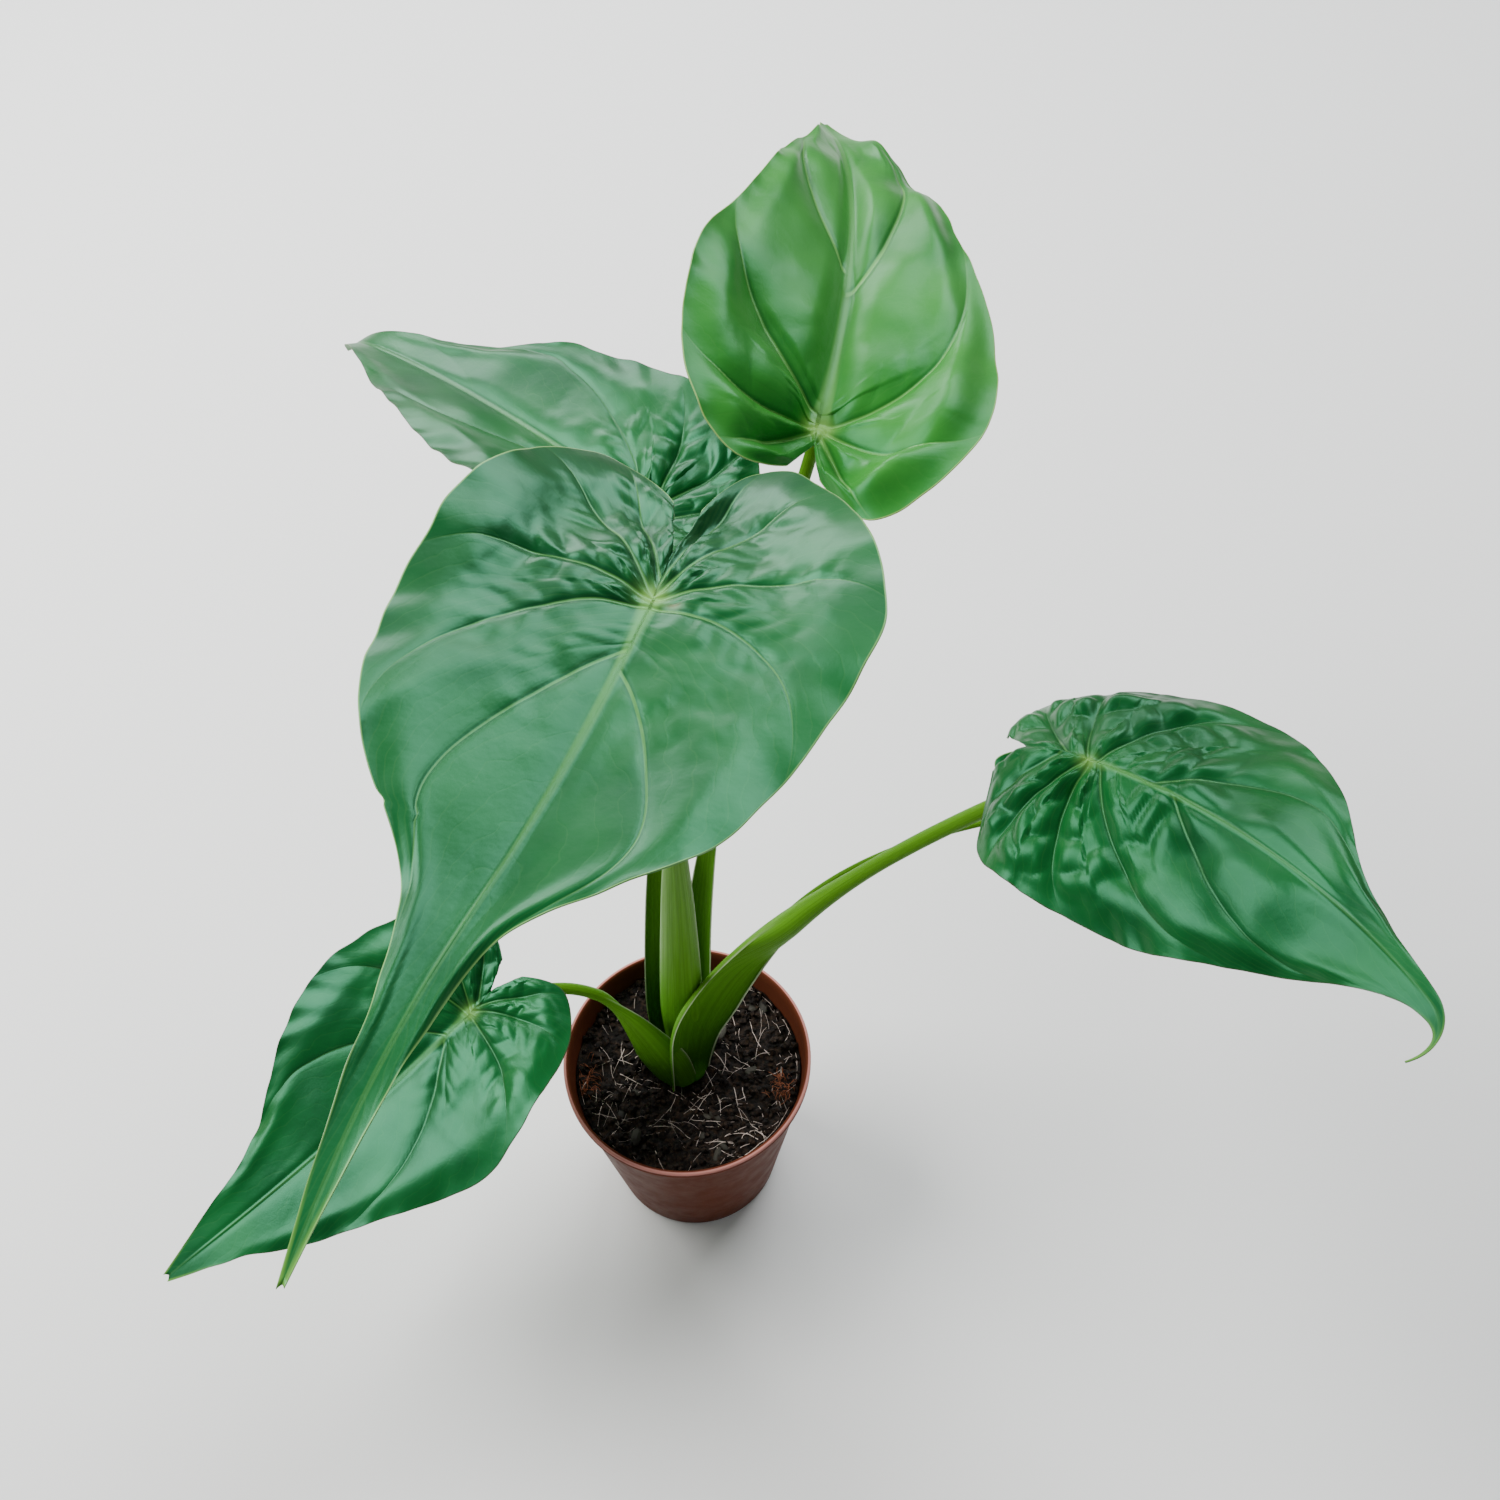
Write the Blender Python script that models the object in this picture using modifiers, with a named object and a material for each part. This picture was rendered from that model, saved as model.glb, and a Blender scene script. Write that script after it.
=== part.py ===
"""A potted Chinese taro: a thin plastic pot of peat, sheathed stalks and heart-shaped leaves."""

import math

import bmesh
import bpy
import numpy as np
from mathutils import Vector, noise

NAME = "potted_chinese_taro"

# Pot, in metres, turned about the Z axis and standing on z = 0
POT_HEIGHT = 0.1094
POT_RIM_RADIUS = 0.0600
POT_FOOT_RADIUS = 0.0426
POT_WALL = 0.0013
POT_FLOOR = 0.0018
LIP_HEIGHT = 0.0048
LIP_REACH = 0.0019
LIP_GROOVE = 0.0005
LIP_ROUND = 0.0004
LIP_BEAD = 0.0010
POT_FOOT_CHAMFER = 0.0012
POT_INNER_CHAMFER = 0.0022
POT_SIDES = 56
DRAIN_HOLES = 6
DRAIN_HOLE_RADIUS = 0.0040
DRAIN_RING_RADIUS = 0.0280
DRAIN_HOLE_SIDES = 12

# Peat: its top lies well below the lip and is rough with crumbs
SOIL_LEVEL = 0.0945
SOIL_RISE_AT_WALL = 0.0015
SOIL_FOOT_CHAMFER = 0.0026
SOIL_DISH_AT_CROWN = 0.0014
SOIL_DISH_WIDTH = 0.0120
SOIL_CRUMB = 0.0022
SOIL_CRUMBS_PER_METRE = 160
SOIL_RINGS = 10
SOIL_SIDES = 48
CLEARANCE = 0.0003
MERGE_DISTANCE = 0.00005

# Stem base that the stalks grow from, standing in a plain round hole in the peat
CROWN_CENTRE = (-0.0020, 0.0050)
CROWN_RADIUS = 0.0150
CROWN_FOOT_RADIUS = 0.0125
CROWN_FOOT_DEPTH = 0.0220
CROWN_HEIGHT = 0.0200
CROWN_DOME = 0.0015
CROWN_FOOT_TAPER = 0.0040
CROWN_SIDES = 20

# Blades
BLADE_THICKNESS = 0.0009
MIDRIB_DEPTH = 0.0011
BLADE_ROWS = 34
BLADE_COLUMNS = 6
YOUNG_BLADE_ROWS = 16
YOUNG_BLADE_COLUMNS = 4
FIRST_RIB_SHARE = 0.035
LAST_RIB_SHARE = 0.980
RIB_SWEEP = 1.15
RIB_SLANT = 1.0
MARGIN_STEPS = 600
MIDRIB_START_SHARE = 0.08
VEIN_COUNT = 8
EDGE_WAVES = 3.5
STALK_END_GAP = 0.0004
STALK_RINGS = 20
STALK_SWELLING_SHARE = 0.45
STALK_GATHERED_SHARE = 0.12
STALK_FOOT_HEIGHT = 0.0060
STALK_HALF_SIDES = 8
SHEATH_WALL = 0.0016
SHEATH_EDGE = 0.0007

# Each leaf as it grows. The junction is where stalk, midrib and veins meet, and every width is measured
# from the midrib at the given shares of the length. Angles are in degrees: heading turns from +X to +Y,
# pitch is up, droop and sway are gained by the tip, roll lifts the left side, fold is the slope of each
# half away from the midrib and curl is gained over 70 mm of it. Pairs are (left, right).
CURL_REACH = 0.070
LEAST_CURL = 0.001
LEAVES = {
    "front": {
        "junction": (0.012, -0.070, 0.513), "length": 0.194, "notch": 0.025,
        "stations": (0.0, 0.196, 0.372, 0.549, 0.77),
        "left_widths": (0.060, 0.052, 0.040, 0.008, 0.004),
        "right_widths": (0.058, 0.057, 0.045, 0.015, 0.005),
        "left_lobe": (0.014, 0.064), "right_lobe": (0.032, 0.051),
        "heading": -107, "sway": -14, "pitch": 2, "droop": -14, "lobe_bend": 19, "roll": 3, "twist": 4,
        "tail_start": 0.46, "tail_droop": 13, "tail_sway": 17,
        "fold_at_base": (10, 10), "fold_at_tip": (5, 5), "curl_at_base": (0, 0), "curl_at_tip": (-10, -8),
        "lobe_fold": (6, 2), "quilt": 0.0024, "edge_wave": 0.0020,
    },
    "upright": {
        "junction": (0.063, 0.081, 0.434), "length": 0.242, "notch": 0.014,
        "stations": (0.0, 0.20, 0.40, 0.60, 0.80),
        "left_widths": (0.056, 0.061, 0.045, 0.030, 0.012),
        "right_widths": (0.059, 0.055, 0.041, 0.031, 0.012),
        "left_lobe": (0.027, 0.033), "right_lobe": (0.027, 0.043),
        "heading": 75, "sway": 24, "pitch": 9, "droop": 41, "lobe_bend": -3, "roll": -12, "twist": -10,
        "tail_start": 0.84, "tail_droop": -16, "tail_sway": -1,
        "fold_at_base": (21, 20), "fold_at_tip": (6, 5), "curl_at_base": (0, 1), "curl_at_tip": (-10, -10),
        "lobe_fold": (12, 12), "quilt": 0.0022, "edge_wave": 0.0012,
    },
    "back": {
        "junction": (-0.002, 0.116, 0.363), "length": 0.232, "notch": 0.016,
        "stations": (0.0, 0.20, 0.40, 0.60, 0.80),
        "left_widths": (0.056, 0.057, 0.046, 0.031, 0.012),
        "right_widths": (0.055, 0.058, 0.047, 0.024, 0.012),
        "left_lobe": (0.026, 0.047), "right_lobe": (0.017, 0.035),
        "heading": 134, "sway": 1, "pitch": -1, "droop": 18, "lobe_bend": 1, "roll": -10, "twist": 6,
        "tail_start": 0.77, "tail_droop": 34, "tail_sway": -15,
        "fold_at_base": (19, 17), "fold_at_tip": (11, 12), "curl_at_base": (4, 4), "curl_at_tip": (-5, -7),
        "lobe_fold": (4, 10), "quilt": 0.0020, "edge_wave": 0.0016,
    },
    "right": {
        "junction": (0.161, 0.009, 0.331), "length": 0.188, "notch": 0.038,
        "stations": (0.0, 0.20, 0.40, 0.60, 0.80),
        "left_widths": (0.052, 0.057, 0.039, 0.012, 0.004),
        "right_widths": (0.056, 0.058, 0.050, 0.031, 0.007),
        "left_lobe": (0.019, 0.054), "right_lobe": (0.040, 0.043),
        "heading": -42, "sway": -38, "pitch": 18, "droop": 10, "lobe_bend": 38, "roll": -10, "twist": -23,
        "tail_start": 0.81, "tail_droop": 30, "tail_sway": -100,
        "fold_at_base": (-16, -14), "fold_at_tip": (-8, -11), "curl_at_base": (-16, -11),
        "curl_at_tip": (-9, -11), "lobe_fold": (12, -2), "quilt": 0.0026, "edge_wave": 0.0014,
    },
    "left": {
        "junction": (-0.096, -0.002, 0.166), "length": 0.180, "notch": 0.020,
        "stations": (0.0, 0.20, 0.40, 0.60, 0.80),
        "left_widths": (0.058, 0.065, 0.051, 0.034, 0.014),
        "right_widths": (0.057, 0.064, 0.052, 0.026, 0.012),
        "left_lobe": (0.024, 0.037), "right_lobe": (0.022, 0.032),
        "heading": 220, "sway": -6, "pitch": -18, "droop": -6, "lobe_bend": 8, "roll": 6, "twist": 5,
        "tail_start": 0.78, "tail_droop": 7, "tail_sway": -2,
        "fold_at_base": (13, 12), "fold_at_tip": (1, 2), "curl_at_base": (-1, 1), "curl_at_tip": (-8, -7),
        "lobe_fold": (-15, 1), "quilt": 0.0020, "edge_wave": 0.0014,
    },
    "young": {
        "junction": (0.152, 0.030, 0.268), "length": 0.088, "notch": 0.010,
        "stations": (0.0, 0.20, 0.40, 0.60, 0.80),
        "left_widths": (0.026, 0.027, 0.021, 0.013, 0.005),
        "right_widths": (0.026, 0.027, 0.021, 0.013, 0.005),
        "left_lobe": (0.014, 0.022), "right_lobe": (0.014, 0.022),
        "heading": -25, "sway": 0, "pitch": -4, "droop": 20, "lobe_bend": 0, "roll": 0, "twist": 0,
        "tail_start": 0.80, "tail_droop": 10, "tail_sway": 0,
        "fold_at_base": (14, 14), "fold_at_tip": (8, 8), "curl_at_base": (0, 0), "curl_at_tip": (-6, -6),
        "lobe_fold": (4, 4), "quilt": 0.0008, "edge_wave": 0.0006,
    },
}

# Each stalk rises from the crown to its blade: where it leaves the crown, the direction it leaves in and
# how far it keeps to that, the direction it arrives in and from how far, its radii, and its sheath: the
# share of the length it reaches, how much wider than round it is and where its open side faces.
STALKS = {
    "front": {
        "foot": (-0.004, 0.006), "leaves": (0.02, -0.04, 1.0), "straight": 0.16,
        "arrives": (0.03, -0.35, 1.0), "ends": 0.08, "base_radius": 0.0085, "top_radius": 0.0030,
        "sheath": 0.46, "flare": 0.20, "opens": (0.5, 0.8, 0.0),
    },
    "upright": {
        "foot": (0.001, 0.011), "leaves": (-0.03, 0.12, 1.0), "straight": 0.17,
        "arrives": (0.25, 0.20, 1.0), "ends": 0.06, "base_radius": 0.0065, "top_radius": 0.0024,
        "sheath": 0.42, "flare": 0.25, "opens": (-0.3, -1.0, 0.2),
    },
    "back": {
        "foot": (-0.009, 0.010), "leaves": (-0.05, 0.20, 1.0), "straight": 0.12,
        "arrives": (-0.10, 0.45, 1.0), "ends": 0.06, "base_radius": 0.0060, "top_radius": 0.0026,
        "sheath": 0.45, "flare": 0.25, "opens": (0.1, -1.0, 0.3),
    },
    "right": {
        "foot": (0.003, 0.001), "leaves": (0.14, 0.12, 1.0), "straight": 0.11,
        "arrives": (0.72, -0.10, 0.62), "ends": 0.09, "base_radius": 0.0110, "top_radius": 0.0032,
        "sheath": 0.40, "flare": 0.28, "opens": (-0.35, -0.75, 0.55),
    },
    "left": {
        "foot": (-0.006, 0.001), "leaves": (-0.35, 0.10, 1.0), "straight": 0.070,
        "arrives": (-0.90, -0.38, -0.12), "ends": 0.050, "base_radius": 0.0100, "top_radius": 0.0027,
        "sheath": 0.42, "flare": 0.25, "opens": (0.4, 0.35, 0.85),
    },
    "young": {
        "foot": (0.009, 0.007), "leaves": (0.22, 0.16, 1.0), "straight": 0.11,
        "arrives": (0.95, 0.02, 0.22), "ends": 0.08, "base_radius": 0.0030, "top_radius": 0.0013,
        "sheath": 0.30, "flare": 0.05, "opens": (-1.0, 0.0, 0.4),
    },
}

# Surface colours, linear
POT_COLOUR = (0.30, 0.085, 0.055)
SOIL_COLOUR = (0.020, 0.013, 0.010)
STALK_COLOUR = (0.10, 0.27, 0.035)
BLADE_COLOUR = (0.022, 0.115, 0.030)
FRESH_BLADE_COLOUR = (0.060, 0.220, 0.035)


def clear_scene():
    """Remove every object that a new file holds."""
    for old in list(bpy.data.objects):
        bpy.data.objects.remove(old, do_unlink=True)


def new_collection(name):
    """A collection of its own in the scene."""
    collection = bpy.data.collections.new(name)
    bpy.context.scene.collection.children.link(collection)
    return collection


def add_object(name, mesh, collection, location=(0.0, 0.0, 0.0)):
    """A named object that shows this mesh."""
    piece = bpy.data.objects.new(name, mesh)
    piece.location = location
    collection.objects.link(piece)
    return piece


def paint(piece, colour, roughness):
    """Give a piece its own plain material."""
    material = bpy.data.materials.new(piece.name)
    material.use_nodes = True
    shader = material.node_tree.nodes["Principled BSDF"]
    shader.inputs["Base Color"].default_value = (*colour, 1.0)
    shader.inputs["Roughness"].default_value = roughness
    piece.data.materials.clear()
    piece.data.materials.append(material)


def turned(name, profile, sides, collection, location=(0.0, 0.0, 0.0)):
    """A solid turned about Z from (radius, z) points that run down its outer side, from axis to axis."""
    mesh = bpy.data.meshes.new(name)
    points = [(radius, 0.0, z) for radius, z in profile]
    mesh.from_pydata(points, [(index, index + 1) for index in range(len(points) - 1)], [])
    piece = add_object(name, mesh, collection, location)
    screw = piece.modifiers.new("turn", "SCREW")
    screw.steps = sides
    screw.render_steps = sides
    screw.use_merge_vertices = True
    screw.merge_threshold = MERGE_DISTANCE
    return piece


def apply_modifiers(piece):
    """Replace a piece's mesh with the one that its modifiers make."""
    graph = bpy.context.evaluated_depsgraph_get()
    mesh = bpy.data.meshes.new_from_object(piece.evaluated_get(graph))
    piece.modifiers.clear()
    piece.data = mesh


def as_cutter(piece):
    """Mark a piece as a cutter or a guide, which isn't part of the plant."""
    piece.hide_render = True
    piece.display_type = "WIRE"


def add_cylinder_cutter(name, radius, depth, sides, collection, location):
    """A plain upright cylinder that cuts a hole."""
    mesh = bpy.data.meshes.new(name)
    cylinder = bmesh.new()
    bmesh.ops.create_cone(
        cylinder, cap_ends=True, segments=sides, radius1=radius, radius2=radius, depth=depth)
    cylinder.to_mesh(mesh)
    cylinder.free()
    as_cutter(add_object(name, mesh, collection, location))


def add_boolean(piece, operation, other, solver):
    """Cut or join a piece with a collection of others."""
    modifier = piece.modifiers.new(operation.lower(), "BOOLEAN")
    modifier.operation = operation
    modifier.solver = solver
    modifier.operand_type = "COLLECTION"
    modifier.collection = other


def shade_round(piece):
    """Smooth shading with sharp edges kept."""
    piece.data.shade_smooth()
    piece.data.set_sharp_from_angle(angle=math.radians(35))


def smooth_step(value):
    """Ease from 0 to 1 as the value goes from 0 to 1."""
    value = np.clip(value, 0.0, 1.0)
    return value * value * (3.0 - 2.0 * value)


def smooth_curve(points, count):
    """Evenly spaced points along a centripetal Catmull-Rom curve through the given ones."""
    points = np.asarray(points, float)
    ends = [2 * points[0] - points[1]], [2 * points[-1] - points[-2]]
    points = np.concatenate([ends[0], points, ends[1]])
    fine = []
    for index in range(1, len(points) - 2):
        p0, p1, p2, p3 = points[index - 1:index + 3]
        t1 = math.sqrt(np.linalg.norm(p1 - p0))
        t2 = t1 + math.sqrt(np.linalg.norm(p2 - p1))
        t3 = t2 + math.sqrt(np.linalg.norm(p3 - p2))
        t = np.linspace(t1, t2, 24, endpoint=False)[:, None]
        a1 = (t1 - t) / t1 * p0 + t / t1 * p1
        a2 = (t2 - t) / (t2 - t1) * p1 + (t - t1) / (t2 - t1) * p2
        a3 = (t3 - t) / (t3 - t2) * p2 + (t - t2) / (t3 - t2) * p3
        b1 = (t2 - t) / t2 * a1 + t / t2 * a2
        b2 = (t3 - t) / (t3 - t1) * a2 + (t - t1) / (t3 - t1) * a3
        fine.append((t2 - t) / (t2 - t1) * b1 + (t - t1) / (t2 - t1) * b2)
    fine = np.concatenate(fine + [points[-2:-1]])
    steps = np.linalg.norm(np.diff(fine, axis=0), axis=1)
    travelled = np.concatenate([[0.0], np.cumsum(steps)])
    wanted = np.linspace(0.0, travelled[-1], count)
    return np.stack([np.interp(wanted, travelled, fine[:, axis]) for axis in range(fine.shape[1])], axis=-1)


def half_outline(leaf, side, count):
    """Flat margin of one half, from the notch round the lobe to the tip, as (width, distance along)."""
    length = leaf["length"]
    notch = leaf["notch"]
    widths = leaf[side + "_widths"]
    lobe_out, lobe_back = leaf[side + "_lobe"]
    points = [
        (0.0, -notch),
        (0.30 * lobe_out, -0.5 * notch - 0.5 * lobe_back),
        (lobe_out, -lobe_back),
        (0.62 * lobe_out + 0.42 * widths[0], -0.80 * lobe_back),
        (0.25 * lobe_out + 0.78 * widths[0], -0.42 * lobe_back),
    ]
    points += [(width, share * length) for width, share in zip(widths, leaf["stations"])]
    points += [(0.5 * widths[-1], 0.5 * (1.0 + leaf["stations"][-1]) * length), (0.0, length)]
    return smooth_curve(points, count)


def margin_points(leaf, side, shares):
    """Flat points at these shares of one half's margin."""
    margin = half_outline(leaf, side, MARGIN_STEPS)
    reach = np.linspace(0.0, 1.0, MARGIN_STEPS)
    return np.stack([np.interp(shares, reach, margin[:, axis]) for axis in range(2)], axis=-1)


def rib_roots(leaf, shares):
    """Where along the midrib the ribs start that reach the margin at these shares of its length."""
    length = leaf["length"]
    notch = leaf["notch"]
    margin_shares = (0.0, 0.05, 0.10, 0.17, 0.28, 0.42, 0.58, 0.70, 0.82, 0.92, 1.0)
    roots = (
        -notch, -0.50 * notch, -0.18 * notch, 0.0, 0.006 * length, 0.025 * length,
        0.10 * length, 0.24 * length, 0.46 * length, 0.72 * length, length,
    )
    ends = [margin_points(leaf, side, shares) for side in ("left", "right")]
    least_slanted = np.minimum(*[end[:, 1] - RIB_SLANT * end[:, 0] for end in ends])
    return np.maximum(np.interp(shares, margin_shares, roots), least_slanted)


def half_blade(leaf, side, shares, across):
    """Flat points of one half on a grid: ribs run across it from the midrib out to the margin.

    In the lobes a rib is a plain arc. Toward the tip it keeps to its share of the blade's width, so that
    it stays inside where the margin is hollow.
    """
    out = margin_points(leaf, side, shares)[:, None]
    start = np.stack([np.zeros_like(shares), rib_roots(leaf, shares)], axis=-1)[:, None]
    chord = out - start
    arch = 0.16 * smooth_step((shares - 0.25) / 0.35)[:, None, None]
    bend = 0.5 * (start + out) + arch * np.stack([chord[..., 1], -chord[..., 0]], axis=-1)
    t = across[None, :, None]
    arcs = (1 - t) ** 2 * start + 2 * t * (1 - t) * bend + t ** 2 * out
    along = start[..., 1] + chord[..., 1] * across[None] ** RIB_SWEEP
    margin = half_outline(leaf, side, MARGIN_STEPS)
    ahead = margin[margin[:, 1] >= 0.0]
    width = np.interp(along, ahead[:, 1], ahead[:, 0]) * across[None]
    swept = smooth_step((shares - 0.38) / 0.20)[:, None, None]
    return (1.0 - swept) * arcs + swept * np.stack([width, along], axis=-1)


def midrib_frame(leaf, along):
    """Points on the midrib and its three directions: forward, to the right and out of the upper face."""
    reach = np.linspace(-0.4, 1.0, 201)

    def directions(share):
        ahead = np.clip(share, 0.0, None)
        behind = np.clip(-share, 0.0, None)
        tail = smooth_step((share - leaf["tail_start"]) / (1.0 - leaf["tail_start"]))
        pitch = leaf["pitch"] - leaf["droop"] * ahead ** 1.5 + leaf["lobe_bend"] * behind / 0.25
        pitch = np.radians(pitch - leaf["tail_droop"] * tail)
        heading = np.radians(leaf["heading"] + leaf["sway"] * ahead + leaf["tail_sway"] * tail)
        roll = np.radians(leaf["roll"] + leaf["twist"] * share)
        forward = np.stack(
            [np.cos(pitch) * np.cos(heading), np.cos(pitch) * np.sin(heading), np.sin(pitch)], axis=-1)
        level = np.stack([np.sin(heading), -np.cos(heading), np.zeros_like(heading)], axis=-1)
        upright = np.cross(level, forward)
        cosine = np.cos(roll)[..., None]
        sine = np.sin(roll)[..., None]
        return forward, cosine * level + sine * upright, cosine * upright - sine * level

    forward = directions(reach)[0]
    step = (reach[1] - reach[0]) * leaf["length"]
    path = np.zeros((len(reach), 3))
    path[1:] = np.cumsum(0.5 * (forward[1:] + forward[:-1]) * step, axis=0)
    path -= np.array([np.interp(0.0, reach, path[:, axis]) for axis in range(3)])
    path += np.array(leaf["junction"])
    share = along / leaf["length"]
    points = np.stack([np.interp(share, reach, path[:, axis]) for axis in range(3)], axis=-1)
    return points, *directions(share)


def bend_blade(leaf, side, flat):
    """Flat blade points carried to their place in space."""
    index = 0 if side == "left" else 1
    sign = -1.0 if side == "left" else 1.0
    width = flat[..., 0]
    along = flat[..., 1]
    points, _, rightward, upward = midrib_frame(leaf, along)
    share = np.clip(along / leaf["length"], 0.0, 1.0)
    behind = np.clip(-along / leaf["length"] / 0.25, 0.0, 1.2)
    fold = leaf["fold_at_base"][index] * (1 - share) + leaf["fold_at_tip"][index] * share
    fold = np.radians(fold + leaf["lobe_fold"][index] * behind)
    curl = leaf["curl_at_base"][index] * (1 - share) + leaf["curl_at_tip"][index] * share
    curl = np.radians(curl) / CURL_REACH
    curl = np.where(np.abs(curl) < LEAST_CURL, LEAST_CURL, curl)
    turned_by = fold + curl * width
    across = (np.sin(turned_by) - np.sin(fold)) / curl
    lift = (np.cos(fold) - np.cos(turned_by)) / curl
    return points + (sign * across)[..., None] * rightward + lift[..., None] * upward


def relief(leaf, side, shares, across):
    """Height of the blade's surface: it swells between the ribs and waves along the margin."""
    phase = 0.0 if side == "left" else 1.7
    swell = np.sin(math.pi * VEIN_COUNT * shares) ** 2
    fade = 1.0 - smooth_step((shares - 0.55) / 0.35)
    swell = swell * fade
    profile = 4.0 * across * (1.0 - across)
    wave = np.sin(2 * math.pi * EDGE_WAVES * shares + phase) * (1.0 - smooth_step((shares - 0.75) / 0.2))
    quilting = leaf["quilt"] * swell[:, None] * profile[None]
    return quilting + leaf["edge_wave"] * wave[:, None] * across[None] ** 3


def grid_normals(grid):
    """Unit normals of a grid of points, out of the upper face."""
    down = np.gradient(grid, axis=0)
    right = np.gradient(grid, axis=1)
    normal = np.cross(right, down)
    return normal / np.maximum(np.linalg.norm(normal, axis=-1, keepdims=True), 1e-12)


def blade_surface(leaf, rows, columns):
    """Upper face of a blade as a grid of points: rows from notch to tip, columns from left to right."""
    shares = np.linspace(FIRST_RIB_SHARE, LAST_RIB_SHARE, rows)
    across = np.linspace(0.0, 1.0, columns + 1)
    left = bend_blade(leaf, "left", half_blade(leaf, "left", shares, across))
    right = bend_blade(leaf, "right", half_blade(leaf, "right", shares, across))
    smooth = np.concatenate([left[:, :0:-1], right], axis=1)
    left_relief = relief(leaf, "left", shares, across)
    right_relief = relief(leaf, "right", shares, across)
    heights = np.concatenate([left_relief[:, :0:-1], right_relief], axis=1)
    return smooth + heights[..., None] * grid_normals(smooth)


def build_blade(name, collection):
    """One leaf blade: a grid bent to shape, given its thickness and a midrib underneath."""
    leaf = LEAVES[name]
    young = name == "young"
    rows = YOUNG_BLADE_ROWS if young else BLADE_ROWS
    columns = YOUNG_BLADE_COLUMNS if young else BLADE_COLUMNS
    surface = blade_surface(leaf, rows, columns)
    blade_mesh = bmesh.new()
    bmesh.ops.create_grid(blade_mesh, x_segments=2 * columns, y_segments=rows - 1, size=0.5)
    thickness = blade_mesh.verts.layers.deform.new()
    thin = BLADE_THICKNESS / (BLADE_THICKNESS + MIDRIB_DEPTH)
    for vertex in blade_mesh.verts:
        column = round((vertex.co.x + 0.5) * 2 * columns)
        row = round((vertex.co.y + 0.5) * (rows - 1))
        vertex.co = Vector(surface[row, column]) - Vector(leaf["junction"])
        share = row / rows
        on_midrib = column == columns and share > MIDRIB_START_SHARE
        vertex[thickness][0] = 1.0 - 0.5 * share if on_midrib else thin
    bmesh.ops.triangulate(blade_mesh, faces=blade_mesh.faces, quad_method="FIXED")
    mesh = bpy.data.meshes.new("blade_" + name)
    blade_mesh.to_mesh(mesh)
    blade_mesh.free()
    blade = add_object("blade_" + name, mesh, collection, leaf["junction"])
    blade.vertex_groups.new(name="thickness")
    solidify = blade.modifiers.new("thickness", "SOLIDIFY")
    solidify.thickness = BLADE_THICKNESS + MIDRIB_DEPTH
    solidify.offset = -1.0
    solidify.vertex_group = "thickness"
    paint(blade, FRESH_BLADE_COLOUR if name == "upright" else BLADE_COLOUR, 0.35)
    shade_round(blade)


def stalk_path(name, count):
    """Centre line of a stalk, from inside the crown to just under its blade, and its last direction."""
    stalk = STALKS[name]
    junction, _, _, upward = midrib_frame(LEAVES[name], np.array(0.0))
    start = np.array([*stalk["foot"], SOIL_LEVEL + STALK_FOOT_HEIGHT])
    leaving = np.array(stalk["leaves"])
    leaving = leaving / np.linalg.norm(leaving)
    arriving = np.array(stalk["arrives"])
    arriving = arriving / np.linalg.norm(arriving)
    end_rise = stalk["top_radius"] * math.sqrt(1.0 - np.dot(arriving, upward) ** 2)
    seat = junction - (BLADE_THICKNESS + MIDRIB_DEPTH + STALK_END_GAP + end_rise) * upward
    first = start + stalk["straight"] * leaving
    second = seat - stalk["ends"] * arriving
    t = np.linspace(0.0, 1.0, count)[:, None]
    lower = (1 - t) ** 3 * start + 3 * t * (1 - t) ** 2 * first
    upper = 3 * t ** 2 * (1 - t) * second + t ** 3 * seat
    return lower + upper, arriving


def stalk_section(stalk, share):
    """Closed outline of a stalk at a share of its length, as (sideways, toward the open side) points."""
    swelling = 1.0 - float(smooth_step(share / STALK_SWELLING_SHARE))
    gathered = 0.65 + 0.35 * float(smooth_step(share / STALK_GATHERED_SHARE))
    radius = stalk["top_radius"] + (stalk["base_radius"] - stalk["top_radius"]) * swelling
    radius *= gathered
    openness = 1.0 - float(smooth_step((share / stalk["sheath"] - 0.55) / 0.45))
    width = radius * (1.0 + stalk["flare"] * openness)
    channel = radius * (1.0 - openness) - (radius - SHEATH_WALL) * openness
    outline = []
    for angle in np.linspace(0.0, math.pi, STALK_HALF_SIDES):
        outline.append((width * math.cos(angle), -radius * math.sin(angle)))
    inner = width - SHEATH_EDGE * openness
    for angle in np.linspace(math.pi, 0.0, STALK_HALF_SIDES)[1:-1]:
        outline.append((inner * math.cos(angle), channel * math.sin(angle)))
    return outline


def build_stalk(name, collection):
    """One stalk as a loft: an open sheath below that closes into a round stem."""
    stalk = STALKS[name]
    path, arriving = stalk_path(name, STALK_RINGS)
    tangents = np.gradient(path, axis=0)
    tangents /= np.linalg.norm(tangents, axis=1, keepdims=True)
    tangents[-1] = arriving
    opening = np.array(stalk["opens"])
    loft = bmesh.new()
    rings = []
    for index, (centre, tangent) in enumerate(zip(path, tangents)):
        toward = opening - np.dot(opening, tangent) * tangent
        toward /= np.linalg.norm(toward)
        sideways = np.cross(tangent, toward)
        outline = stalk_section(stalk, index / (STALK_RINGS - 1))
        rings.append([loft.verts.new(centre + x * sideways + y * toward) for x, y in outline])
    sides = len(rings[0])
    for lower, upper in zip(rings, rings[1:]):
        for side in range(sides):
            after = (side + 1) % sides
            loft.faces.new((lower[side], lower[after], upper[after], upper[side]))
    loft.faces.new(reversed(rings[0]))
    loft.faces.new(rings[-1])
    mesh = bpy.data.meshes.new("stalk_" + name)
    loft.to_mesh(mesh)
    loft.free()
    as_cutter(add_object("stalk_" + name, mesh, collection))


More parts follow.
